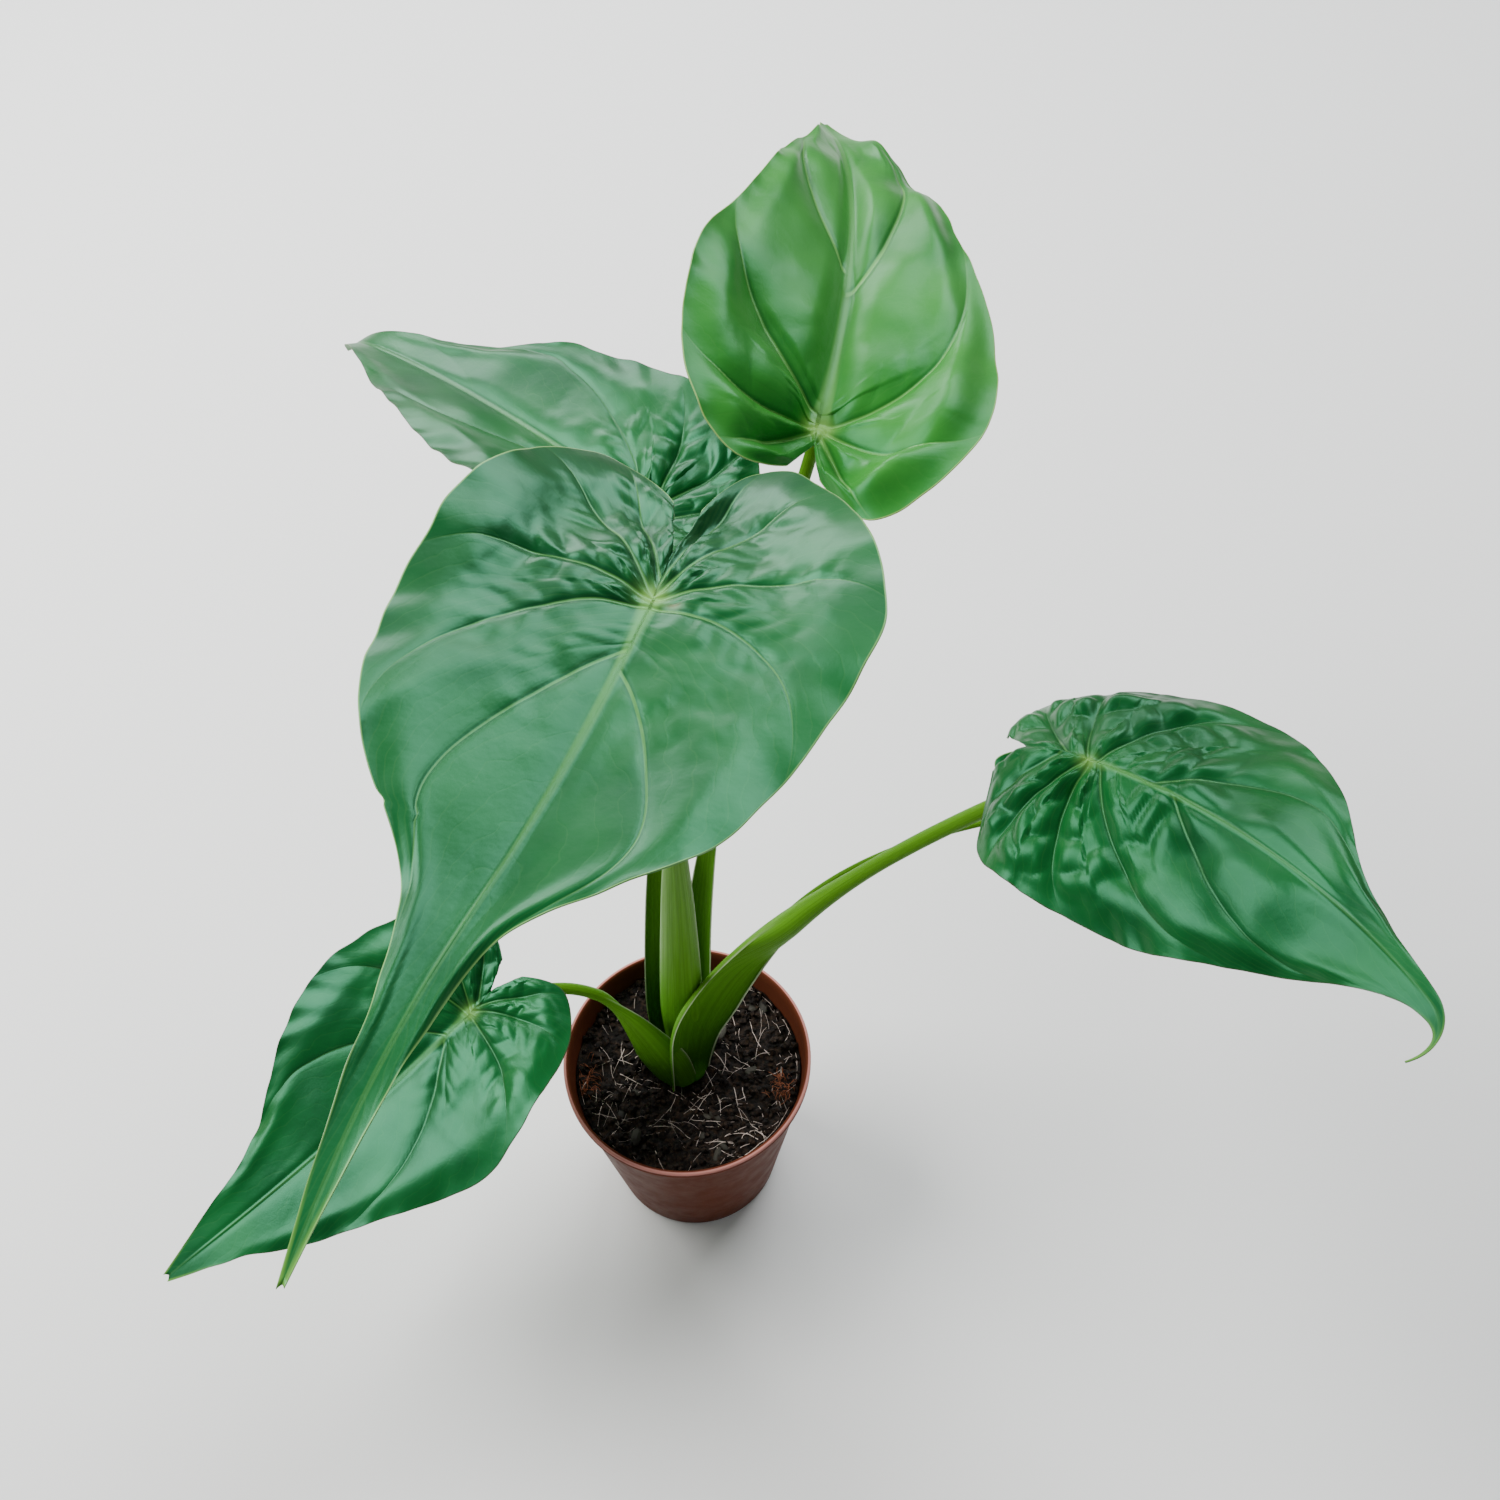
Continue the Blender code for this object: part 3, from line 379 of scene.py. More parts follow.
# Pot profile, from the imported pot's box
POT_LOW, POT_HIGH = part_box("pot")
POT_HEIGHT = POT_HIGH[2] - POT_LOW[2]
POT_RIM_RADIUS = POT_HIGH[0]
POT_FOOT_RADIUS = 0.0426
POT_WALL = 0.0013
POT_FLOOR = 0.0018
POT_MIDDLE = 0.012
LIP_HEIGHT = 0.0048
LIP_REACH = 0.0019
LIP_GROOVE = 0.0005
LIP_BASE = POT_HEIGHT - LIP_HEIGHT
WALL_TOP_RADIUS = POT_RIM_RADIUS - LIP_REACH
WALL_SLOPE = (WALL_TOP_RADIUS - POT_FOOT_RADIUS) / LIP_BASE
DRAIN_SIDES = 32

# Painted highlights on the lip: how near the rim the colour starts and is full, how far its lower end fades,
# how far under the rim and over the lip's base its two painted highlight lines run, and how much of the pale
# colour shows
LIP_FROM_RIM = (0.0016, 0.0010)
LIP_FADE = 0.0004
TOP_HIGHLIGHT_BAND = (0.0014, 0.0007)
BASE_HIGHLIGHT_BAND = (0.0006, 0.0014)
LIP_HIGHLIGHT_SHARE = 0.12
TOP_HIGHLIGHT_SHARE = 0.85
BASE_HIGHLIGHT_SHARE = 0.60

# Peat: its surface, with layers of roughness as (height, level of the noise, scale), and what lies on it
SOIL_LEVEL = 0.0945
SOIL_RISE_AT_WALL = 0.0015
SOIL_RADIUS = POT_FOOT_RADIUS - POT_WALL + (WALL_TOP_RADIUS - POT_FOOT_RADIUS) * SOIL_LEVEL / POT_HEIGHT
SOIL_GAP = 0.0003
SOIL_ROUGHNESS = ((0.0027, 0.0, 60.0), (0.0017, 0.3, 220.0), (0.0008, 0.7, 600.0))
SOIL_RINGS = 70
SOIL_SIDES = 220
CLEAR_OF_WALL = 0.985
CLEAR_OF_CROWN = 0.0005
LEAST_CRUMB = 0.0004
CRUMB_RANGE = 0.0021
CRUMB_ROUGHNESS = 0.22
BARK_CHIPS = 15
CHIP_SIZES = (0.0022, 0.0048)
CHIP_THICKNESS = 0.22
CHIP_ROUGHNESS = 0.0006
HEAPED_SHARE = 0.32
FIBRE_HEAPS = ((-0.038, -0.022), (0.028, -0.036), (0.041, 0.018))
FIBRE_HEAP_SPREAD = (0.011, 0.013)
FIBRE_SIZES = {"lengths": (0.005, 0.028), "radii": (0.00007, 0.00019), "lift": 0.0016}
COIR_TUFTS = ((-0.049, -0.006), (0.046, -0.011))
COIR_TUFT_SPREAD = (0.0028, 0.0045)
COIR_TUFT_STRANDS = 46
COIR_SIZES = {"lengths": (0.004, 0.010), "radii": (0.00009, 0.00016), "lift": 0.0030}
STRAND_POINTS = 9

# Stage: the sky, then each light's name, place, target, size, power and tint, then the photograph's camera
SKY_COLOUR = (0.93, 0.97, 1.0, 1.0)
SKY_STRENGTH = 0.27
LIGHTS = (
    ("high_window", (0.78, 1.52, 2.05), (0.0, 0.0, 0.40), (1.7, 1.2), 62.0, (0.95, 0.98, 1.0)),
    ("low_window", (-0.66, 1.92, 1.20), (0.0, 0.0, 0.40), (1.2, 0.8), 25.0, (0.95, 0.98, 1.0)),
    ("side", (-1.35, 0.45, 1.60), (0.0, 0.0, 0.2), (1.4, 1.3), 74.0, (1.0, 0.995, 0.98)),
)
CAMERA_PLACE = (0.0351, -0.3379, 0.8015)
CAMERA_PITCH = 52.95
CAMERA_TILT = -1.79
SENSOR_WIDTH = 36.0


# --- settings -------------------------------------------------------------------------------------


class TaroLeafSettings(bpy.types.PropertyGroup):
    """Fineness and colours of the blades"""

    rows: IntProperty(name="Rows", description="Grid rows from notch to tip", default=230, min=40)
    columns: IntProperty(name="Columns", description="Grid columns on each half", default=56, min=12)
    deep: FloatVectorProperty(
        name="Deep green", description="Upper face between the veins", subtype="COLOR", size=3,
        default=(0.0016, 0.042, 0.0058))
    bright: FloatVectorProperty(
        name="Bright green", description="Patches of the upper face", subtype="COLOR", size=3,
        default=(0.0060, 0.084, 0.0135))
    fresh_deep: FloatVectorProperty(
        name="Fresh deep green", description="Upper face of the newest leaf", subtype="COLOR", size=3,
        default=(0.016, 0.140, 0.016))
    fresh_bright: FloatVectorProperty(
        name="Fresh bright green", description="Patches of the newest leaf", subtype="COLOR", size=3,
        default=(0.030, 0.195, 0.022))
    vein: FloatVectorProperty(
        name="Vein green", description="Veins and midrib", subtype="COLOR", size=3,
        default=(0.120, 0.330, 0.070))
    tip: FloatVectorProperty(
        name="Tip green", description="Edges of the tip", subtype="COLOR", size=3,
        default=(0.140, 0.330, 0.035))
    under: FloatVectorProperty(
        name="Underside", description="Duller lower face", subtype="COLOR", size=3,
        default=(0.070, 0.180, 0.055))


class TaroStalkSettings(bpy.types.PropertyGroup):
    """Colours of the stalks"""

    green: FloatVectorProperty(
        name="Stalk green", description="Main colour of the stalks", subtype="COLOR", size=3,
        default=(0.085, 0.250, 0.008))
    # Painted shade: the darker green laid low on the stalks, inside the sheaths and over the crown
    painted_shade_green: FloatVectorProperty(
        name="Sheath green", description="Dark faces of the sheaths", subtype="COLOR", size=3,
        default=(0.018, 0.115, 0.003))
    pale: FloatVectorProperty(
        name="Sheath edge", description="Thin dry edges of the sheaths", subtype="COLOR", size=3,
        default=(0.500, 0.580, 0.380))


class TaroPotSettings(bpy.types.PropertyGroup):
    """Shape and colour of the pot"""

    sides: IntProperty(name="Sides", description="Steps round the pot", default=160, min=24)
    colour: FloatVectorProperty(
        name="Terracotta", description="Plastic of the pot", subtype="COLOR", size=3,
        default=(0.085, 0.023, 0.011))
    drain_radius: FloatProperty(
        name="Drain hole radius", description="Radius of each hole", default=0.0040, unit="LENGTH")
    drain_ring: FloatProperty(
        name="Drain ring radius", description="Ring that the holes lie on", default=0.0280, unit="LENGTH")
    drain_holes: IntProperty(name="Drain holes", description="Number of holes", default=6)


class TaroPeatSettings(bpy.types.PropertyGroup):
    """Peat, crumbs and fibres"""

    crumbs: IntProperty(name="Crumbs", description="Loose crumbs on the peat", default=2600, min=0)
    fibres: IntProperty(name="Fibres", description="Pale fibres and roots", default=165, min=0)
    colour: FloatVectorProperty(
        name="Peat", description="Dark moist peat", subtype="COLOR", size=3, default=(0.0050, 0.0036, 0.0028))
    fibre: FloatVectorProperty(
        name="Fibre", description="Dry pale fibres", subtype="COLOR", size=3, default=(0.85, 0.70, 0.62))
    coir: FloatVectorProperty(
        name="Coir", description="Rust-red coir tufts", subtype="COLOR", size=3, default=(0.33, 0.10, 0.04))
    seed: IntProperty(name="Seed", description="Seed of the scatter", default=11)


class TaroStageSettings(bpy.types.PropertyGroup):
    """Floor and camera"""

    floor: FloatVectorProperty(
        name="Floor", description="Plain pale floor", subtype="COLOR", size=3, default=(0.82, 0.815, 0.80))
    floor_size: FloatProperty(
        name="Floor size", description="Side of the floor", default=8.0, unit="LENGTH")
    lens: FloatProperty(name="Lens", description="Focal length in millimetres", default=37.44)


# --- node helpers ---------------------------------------------------------------------------------


def add_node(tree, kind, inputs=None, **settings):
    """Add a node, set its properties, and fill or link its inputs."""
    made = tree.nodes.new(kind)
    for name, value in settings.items():
        setattr(made, name, value)
    for name, value in (inputs or {}).items():
        socket = made.inputs[name]
        if isinstance(value, bpy.types.NodeSocket):
            tree.links.new(value, socket)
        else:
            socket.default_value = value
    return made


def calc(tree, operation, first, second=0.0, third=0.0):
    """One step of arithmetic."""
    made = add_node(tree, "ShaderNodeMath", {0: first, 1: second, 2: third}, operation=operation)
    return made.outputs[0]


def fade(tree, value, low, high, low_out=0.0, high_out=1.0):
    """Ease from one output to another while a value goes from low to high."""
    made = add_node(
        tree, "ShaderNodeMapRange",
        {"Value": value, "From Min": low, "From Max": high, "To Min": low_out, "To Max": high_out},
        interpolation_type="SMOOTHSTEP")
    return made.outputs[0]


def blend(tree, factor, first, second):
    """Mix two colours."""
    made = add_node(tree, "ShaderNodeMix", data_type="RGBA")
    for index, value in ((0, factor), (6, first), (7, second)):
        socket = made.inputs[index]
        if isinstance(value, bpy.types.NodeSocket):
            tree.links.new(value, socket)
        elif index:
            socket.default_value = (*value, 1.0)
        else:
            socket.default_value = value
    return made.outputs[2]


def cover(tree, colour, mask, share, other):
    """Lay a share of another colour over one where a mask shows."""
    return blend(tree, calc(tree, "MULTIPLY", mask, share), colour, other)


def scaled(colour, factor):
    """A darker or brighter copy of a colour."""
    return tuple(factor * channel for channel in colour)


def attribute(tree, name):
    """A named value carried by the mesh."""
    return add_node(tree, "ShaderNodeAttribute", attribute_name=name).outputs["Fac"]


def cloud(tree, vector, scale, detail=3.0, roughness=0.5):
    """Soft noise from 0 to 1."""
    made = add_node(
        tree, "ShaderNodeTexNoise",
        {"Vector": vector, "Scale": scale, "Detail": detail, "Roughness": roughness})
    return made.outputs["Fac"]


def object_place(tree):
    """Object coordinates."""
    return add_node(tree, "ShaderNodeTexCoord").outputs["Object"]


def stretched(tree, vector, scale):
    """Coordinates scaled along each axis."""
    return add_node(tree, "ShaderNodeMapping", {"Vector": vector, "Scale": scale}).outputs["Vector"]


def new_group(name, inputs, outputs):
    """An empty node group with named number sockets."""
    group = bpy.data.node_groups.new(name, "ShaderNodeTree")
    for socket_name, value in inputs:
        socket = group.interface.new_socket(
            name=socket_name, in_out="INPUT", socket_type="NodeSocketFloat")
        socket.default_value = value
    for socket_name in outputs:
        group.interface.new_socket(name=socket_name, in_out="OUTPUT", socket_type="NodeSocketFloat")
    start = group.nodes.new("NodeGroupInput")
    end = group.nodes.new("NodeGroupOutput")
    return group, start, end


def place_group(tree, group, inputs):
    """Put a group in a material with its own values."""
    made = tree.nodes.new("ShaderNodeGroup")
    made.node_tree = group
    for name, value in inputs.items():
        if isinstance(value, bpy.types.NodeSocket):
            tree.links.new(value, made.inputs[name])
        else:
            made.inputs[name].default_value = value
    return made


def vein_lines_group():
    """Thin lines where a phase passes whole numbers, with a mask and a groove for bump."""
    group, start, end = new_group(
        "Vein lines", [("Phase", 0.0), ("Spacing", 10.0), ("Width", 0.5), ("Strength", 1.0)],
        ["Mask", "Groove"])
    gap = calc(group, "PINGPONG", start.outputs["Phase"], 0.5)
    gap = calc(group, "MULTIPLY", gap, start.outputs["Spacing"])
    relative = calc(group, "DIVIDE", gap, start.outputs["Width"])
    line = fade(group, relative, 0.35, 1.0, 1.0, 0.0)
    wide = fade(group, relative, 0.0, 2.6, 1.0, 0.0)
    group.links.new(calc(group, "MULTIPLY", line, start.outputs["Strength"]), end.inputs["Mask"])
    group.links.new(calc(group, "MULTIPLY", wide, start.outputs["Strength"]), end.inputs["Groove"])
    return group


def new_material(name, roughness, specular=0.5, gloss_tint=None):
    """A Principled material and its tree."""
    material = bpy.data.materials.new(name)
    material.use_nodes = True
    tree = material.node_tree
    shader = tree.nodes["Principled BSDF"]
    shader.inputs["Roughness"].default_value = roughness
    shader.inputs["Specular IOR Level"].default_value = specular
    if gloss_tint:
        shader.inputs["Specular Tint"].default_value = gloss_tint
    return material, tree, shader


def add_bump(tree, shader, height, distance):
    """Feed a height into the shader's normal."""
    made = add_node(tree, "ShaderNodeBump", {"Height": height, "Distance": distance, "Strength": 1.0})
    tree.links.new(made.outputs["Normal"], shader.inputs["Normal"])


# --- materials ------------------------------------------------------------------------------------


def blade_material(name, group, settings):
    """Glossy leaf: softly mottled green, pale veins, painted shade beside the veins and in the cross grooves,
    thin edge and a duller underside.
    """
    finish = BLADE_FINISHES[name]
    deep, bright = (getattr(settings, green) for green in finish["greens"])
    # Painted shade for the grooves beside the veins and between the blisters
    shadow = scaled(deep, 0.55)
    inner_share, outer_share = finish["vein_shares"]
    material, tree, shader = new_material(name, 0.40, finish["gloss"], LEAF_GLOSS_TINT)
    place = object_place(tree)
    uv = add_node(tree, "ShaderNodeUVMap", uv_map="blade")
    split = add_node(tree, "ShaderNodeSeparateXYZ", {"Vector": uv.outputs["UV"]})
    phase, across = split.outputs["X"], split.outputs["Y"]
    spacing = attribute(tree, "vein_spacing")
    strength = attribute(tree, "vein_strength")
    midrib = attribute(tree, "midrib_mask")
    under = attribute(tree, "under")
    edge_gap = attribute(tree, "edge_gap")

    def lines(*values):
        """Vein lines with this phase, spacing, width and strength."""
        named = dict(zip(("Phase", "Spacing", "Width", "Strength"), values))
        return place_group(tree, group, named).outputs

    width = fade(tree, across, 0.0, 1.0, *finish["vein_widths"])
    veins = lines(phase, spacing, width, strength)
    vein_shade_band = lines(phase, spacing, calc(tree, "MULTIPLY", width, 2.6), strength)
    wander = calc(tree, "MULTIPLY", cloud(tree, place, scale=70.0, detail=2.0), 2.2)
    fine = lines(
        calc(tree, "MULTIPLY_ADD", phase, FINE_VEINS, wander), calc(tree, "DIVIDE", spacing, FINE_VEINS),
        0.24, 0.30)
    cross = lines(attribute(tree, "cross"), 8.0, 0.55, attribute(tree, "cross_strength"))

    patches = fade(tree, cloud(tree, place, scale=22.0, detail=4.0), 0.30, 0.70)
    freckles = fade(tree, cloud(tree, place, scale=340.0, roughness=0.6), 0.35, 0.75)
    vein_share = fade(tree, across, 0.0, 0.45, inner_share, outer_share)
    rim = fade(tree, edge_gap, 0.15, 0.60, 1.0, 0.0)
    tip_rim = calc(tree, "MULTIPLY", fade(tree, edge_gap, 0.5, 1.6, 1.0, 0.0), attribute(tree, "tip"))
    colour = blend(tree, patches, deep, bright)
    for mask, share, other in (
        (freckles, 0.16, bright),
        (fine["Mask"], 0.12, settings.vein),
        # Painted shade beside the veins and along the cross grooves
        (vein_shade_band["Mask"], 0.45, shadow),
        (cross["Mask"], 0.40, shadow),
        (veins["Mask"], vein_share, settings.vein),
        (midrib, 0.40 + 0.45 * inner_share, settings.vein),
        (attribute(tree, "hub_mask"), 0.45 + 0.50 * inner_share, HUB_GREEN),
        (rim, finish["edge_share"], finish["edge"]),
        (tip_rim, 0.7, settings.tip),
    ):
        colour = cover(tree, colour, mask, share, other)
    below = cover(
        tree, settings.under, calc(tree, "MAXIMUM", veins["Mask"], midrib), 0.7, UNDER_VEIN_GREEN)
    colour = blend(tree, under, colour, below)
    colour = blend(tree, attribute(tree, "scar"), colour, SCAR_BROWN)
    tree.links.new(colour, shader.inputs["Base Color"])

    sheen = fade(tree, cloud(tree, place, scale=38.0), 0.3, 0.7, 0.31, 0.38)
    rough = calc(tree, "ADD", sheen, calc(tree, "MULTIPLY", under, 0.18))
    tree.links.new(rough, shader.inputs["Roughness"])

    height = calc(tree, "MULTIPLY", cloud(tree, place, scale=1100.0, detail=2.0), 0.05)
    for operation, layer, amount in (
        ("ADD", cloud(tree, place, scale=240.0, detail=2.0), 0.30),
        ("SUBTRACT", veins["Groove"], 0.35),
        ("SUBTRACT", fine["Groove"], 0.10),
    ):
        height = calc(tree, operation, height, calc(tree, "MULTIPLY", layer, amount))
    add_bump(tree, shader, height, distance=0.00025)
    return material


def stalk_material(settings):
    """Juicy green stalk with lengthwise streaks, painted shade low down and inside the sheaths, and pale
    sheath edges.
    """
    material, tree, shader = new_material("stalk", 0.42, 0.10, STALK_GLOSS_TINT)
    uv = add_node(tree, "ShaderNodeUVMap", uv_map="stalk").outputs["UV"]
    streaks = cloud(tree, stretched(tree, uv, (60.0, 9.0, 1.0)), scale=1.0)
    fine_streaks = cloud(tree, stretched(tree, uv, (190.0, 14.0, 1.0)), scale=1.0, detail=2.0)
    colour = blend(tree, fade(tree, streaks, 0.3, 0.7), settings.green, scaled(settings.green, 0.72))
    # Painted shade where the shade value says
    colour = blend(tree, attribute(tree, "shade"), colour, settings.painted_shade_green)
    colour = cover(tree, colour, fade(tree, fine_streaks, 0.5, 0.8), 0.25, STREAK_GREEN)
    colour = blend(tree, attribute(tree, "edge"), colour, settings.pale)
    tree.links.new(colour, shader.inputs["Base Color"])
    tree.links.new(fade(tree, streaks, 0.2, 0.8, 0.36, 0.50), shader.inputs["Roughness"])
    add_bump(tree, shader, fine_streaks, distance=0.0003)
    return material


def pot_material(settings):
    """Satin terracotta-coloured plastic with painted highlights on the lip, dark specks and a trace of dust.
    """
    material, tree, shader = new_material("pot_plastic", 0.46, 0.02, POT_GLOSS_TINT)
    place = object_place(tree)
    colour = blend(
        tree, fade(tree, cloud(tree, place, scale=14.0, detail=4.0), 0.3, 0.7), settings.colour,
        scaled(settings.colour, 1.16))
    apart = add_node(tree, "ShaderNodeSeparateXYZ", {"Vector": place}).outputs
    up = apart["Z"]
    across = calc(tree, "MULTIPLY", apart["X"], apart["X"])
    radial = calc(tree, "SQRT", calc(tree, "MULTIPLY_ADD", apart["Y"], apart["Y"], across))
    # Painted highlights: a faint one over the lip and two bright lines along its top edge and its base
    outside = fade(tree, radial, *(POT_RIM_RADIUS - inward for inward in LIP_FROM_RIM))
    lip = fade(tree, up, LIP_BASE - LIP_FADE, LIP_BASE, 0.0, LIP_HIGHLIGHT_SHARE)
    top_highlight = fade(tree, up, *(POT_HEIGHT - under for under in TOP_HIGHLIGHT_BAND), 0.0, TOP_HIGHLIGHT_SHARE)
    base_highlight = calc(
        tree, "MULTIPLY", fade(tree, up, LIP_BASE - LIP_FADE, LIP_BASE),
        fade(tree, up, *(LIP_BASE + over for over in BASE_HIGHLIGHT_BAND), BASE_HIGHLIGHT_SHARE, 0.0))
    pale = calc(tree, "ADD", lip, calc(tree, "ADD", top_highlight, base_highlight))
    colour = cover(tree, colour, outside, pale, LIP_HIGHLIGHT_PINK)
    dust = fade(tree, cloud(tree, place, scale=420.0, detail=4.0, roughness=0.7), 0.56, 0.72)
    colour = cover(tree, colour, dust, 0.015, DUST_BEIGE)
    specks = add_node(tree, "ShaderNodeTexVoronoi", {"Vector": place, "Scale": 130.0})
    spot = fade(tree, specks.outputs["Distance"], 0.05, 0.10, 1.0, 0.0)
    chosen = fade(tree, cloud(tree, place, scale=60.0, detail=2.0), 0.60, 0.66)
    colour = cover(tree, colour, calc(tree, "MULTIPLY", spot, chosen), 0.7, SPECK_BROWN)
    tree.links.new(colour, shader.inputs["Base Color"])
    rough = fade(tree, cloud(tree, place, scale=90.0, detail=4.0, roughness=0.6), 0.3, 0.75, 0.36, 0.50)
    tree.links.new(rough, shader.inputs["Roughness"])
    scuffs = cloud(tree, stretched(tree, place, (1.0, 1.0, 0.15)), scale=300.0)
    add_bump(tree, shader, scuffs, distance=0.00012)
    return material


def peat_material(settings):
    """Near-black moist peat."""
    material, tree, shader = new_material("peat", 0.85, 0.2)
    place = object_place(tree)
    crumbly = fade(tree, cloud(tree, place, scale=330.0, detail=5.0, roughness=0.65), 0.42, 0.72)
    colour = blend(tree, crumbly, settings.colour, MOIST_BROWN)
    flecks = fade(tree, cloud(tree, place, scale=900.0, roughness=0.7), 0.66, 0.74)
    colour = cover(tree, colour, flecks, 0.6, FLECK_BROWN)
    tree.links.new(colour, shader.inputs["Base Color"])
    rough = fade(tree, cloud(tree, place, scale=150.0), 0.35, 0.65, 0.6, 0.95)
    tree.links.new(rough, shader.inputs["Roughness"])
    add_bump(tree, shader, cloud(tree, place, scale=700.0, detail=5.0, roughness=0.7), distance=0.0012)
    return material


def fibre_material(name, colour, dark_share):
    """Dry fibre, paler and darker from piece to piece."""
    material, tree, shader = new_material(name, 0.7, 0.3)
    place = object_place(tree)
    mixed = blend(
        tree, fade(tree, cloud(tree, place, scale=70.0), 0.35, 0.65), scaled(colour, dark_share), colour)
    tree.links.new(mixed, shader.inputs["Base Color"])
    add_bump(tree, shader, cloud(tree, place, scale=2500.0, detail=2.0), distance=0.0001)
    return material


# --- mesh helpers ---------------------------------------------------------------------------------


def to_mesh(draft, name):
    """A new mesh from a bmesh, which is freed."""
    mesh = bpy.data.meshes.new(name)
    draft.to_mesh(mesh)
    draft.free()
    return mesh


def add_object(name, data):
    """A new object in the scene."""
    made = bpy.data.objects.new(name, data)
    bpy.context.scene.collection.objects.link(made)
    return made


def applied_mesh(draft):
    """A draft object's evaluated mesh; the draft is removed."""
    graph = bpy.context.evaluated_depsgraph_get()
    mesh = bpy.data.meshes.new_from_object(draft.evaluated_get(graph))
    bpy.data.objects.remove(draft, do_unlink=True)
    return mesh


def finish_piece(name, mesh, material, slot, *nodes):
    """Link a mesh as a named piece that rides on the part and stands for CAD nodes."""
    piece = add_object(name, mesh)
    mesh.materials.clear()
    mesh.materials.append(material)
    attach(piece, ROOT)
    for node_name in nodes:
        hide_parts(node_name)


def set_values(mesh, name, values):
    """Store one number for each vertex."""
    layer = mesh.attributes.new(name, "FLOAT", "POINT")
    layer.data.foreach_set("value", np.ascontiguousarray(values, dtype=np.float32).ravel())


def set_uv(mesh, name, uv):
    """Store one UV point for each vertex."""
    layer = mesh.uv_layers.new(name=name)
    corners = np.empty(len(mesh.loops), dtype=np.int32)
    mesh.loops.foreach_get("vertex_index", corners)
    layer.data.foreach_set("uv", np.ascontiguousarray(uv[corners], dtype=np.float32).ravel())


def smooth_step(value):
    """Ease from 0 to 1 as the value goes from 0 to 1."""
    value = np.clip(value, 0.0, 1.0)
    return value * value * (3.0 - 2.0 * value)


def rise(value, start, span):
    """Ease from 0 to 1 while the value goes one span past the start."""
    return smooth_step((value - start) / span)


def fall(value, start, span):
    """Ease from 1 to 0 while the value goes one span past the start."""
    return 1.0 - smooth_step((value - start) / span)


def bell(offset, width):
    """One at no offset, and almost nothing past twice the width."""
    return np.exp(-(offset / width) ** 2)


def soft_noise(x, y, seed):
    """Smooth random heights from -1 to 1 over a plane, one for each pair of coordinates."""
    x, y = np.broadcast_arrays(np.asarray(x, float), np.asarray(y, float))
    column = np.floor(x)
    row = np.floor(y)
    along_x = smooth_step(x - column)
    along_y = smooth_step(y - row)

    def corner(i, j):
        scrambled = np.sin((column + i) * 127.1 + (row + j) * 311.7 + seed * 74.7) * 43758.5453
        return 2.0 * (scrambled - np.floor(scrambled)) - 1.0

    low = corner(0, 0) * (1.0 - along_x) + corner(1, 0) * along_x
    high = corner(0, 1) * (1.0 - along_x) + corner(1, 1) * along_x
    return low * (1.0 - along_y) + high * along_y


def smooth_curve(points, count):
    """Evenly spaced points along a centripetal Catmull-Rom curve through the given ones."""
    points = np.asarray(points, float)
    points = np.concatenate([[2 * points[0] - points[1]], points, [2 * points[-1] - points[-2]]])
    fine = []
    for index in range(1, len(points) - 2):
        p0, p1, p2, p3 = points[index - 1:index + 3]
        t1 = math.sqrt(np.linalg.norm(p1 - p0))
        t2 = t1 + math.sqrt(np.linalg.norm(p2 - p1))
        t3 = t2 + math.sqrt(np.linalg.norm(p3 - p2))
        t = np.linspace(t1, t2, CURVE_STEPS, endpoint=False)[:, None]
        a1 = (t1 - t) / t1 * p0 + t / t1 * p1
        a2 = (t2 - t) / (t2 - t1) * p1 + (t - t1) / (t2 - t1) * p2
        a3 = (t3 - t) / (t3 - t2) * p2 + (t - t2) / (t3 - t2) * p3
        b1 = (t2 - t) / t2 * a1 + t / t2 * a2
        b2 = (t3 - t) / (t3 - t1) * a2 + (t - t1) / (t3 - t1) * a3
        fine.append((t2 - t) / (t2 - t1) * b1 + (t - t1) / (t2 - t1) * b2)
    fine = np.concatenate(fine + [points[-2:-1]])
    steps = np.linalg.norm(np.diff(fine, axis=0), axis=1)
    travelled = np.concatenate([[0.0], np.cumsum(steps)])
    wanted = np.linspace(0.0, travelled[-1], count)
    return np.stack([np.interp(wanted, travelled, fine[:, axis]) for axis in range(fine.shape[1])], axis=-1)


# --- blade shape ----------------------------------------------------------------------------------


def half_outline(leaf, side, count):
    """Flat margin of one half, from the notch round the lobe to the tip, as (width, distance along)."""
    length = leaf["length"]
    notch = leaf["notch"]
    widths = leaf[side + "_widths"]
    lobe_out, lobe_back = leaf[side + "_lobe"]
    points = [
        (out * lobe_out + wide * widths[0], -deep * notch - back * lobe_back)
        for out, wide, deep, back in LOBE_POINTS
    ]
    points += [(width, share * length) for width, share in zip(widths, leaf["stations"])]
    points += [(0.5 * widths[-1], 0.5 * (1.0 + leaf["stations"][-1]) * length), (0.0, length)]
    margin = smooth_curve(points, count)
    reach = np.linspace(0.0, 1.0, count)
    change = MARGIN_WOBBLE * soft_noise(MARGIN_WOBBLES * reach, 0.0, leaf["seed"] + len(side))
    for share, spread, depth in leaf.get(side + "_nicks", ()):
        change = change - depth * bell(reach - share, spread)
    margin[:, 0] += change * rise(reach, 0.10, 0.10) * smooth_step((0.96 - reach) / 0.10)
    thread_start, thread_share = leaf.get("thread", (1.0, 1.0))
    margin[:, 0] *= 1.0 - (1.0 - thread_share) * rise(margin[:, 1] / length, thread_start, 0.09)
    return margin


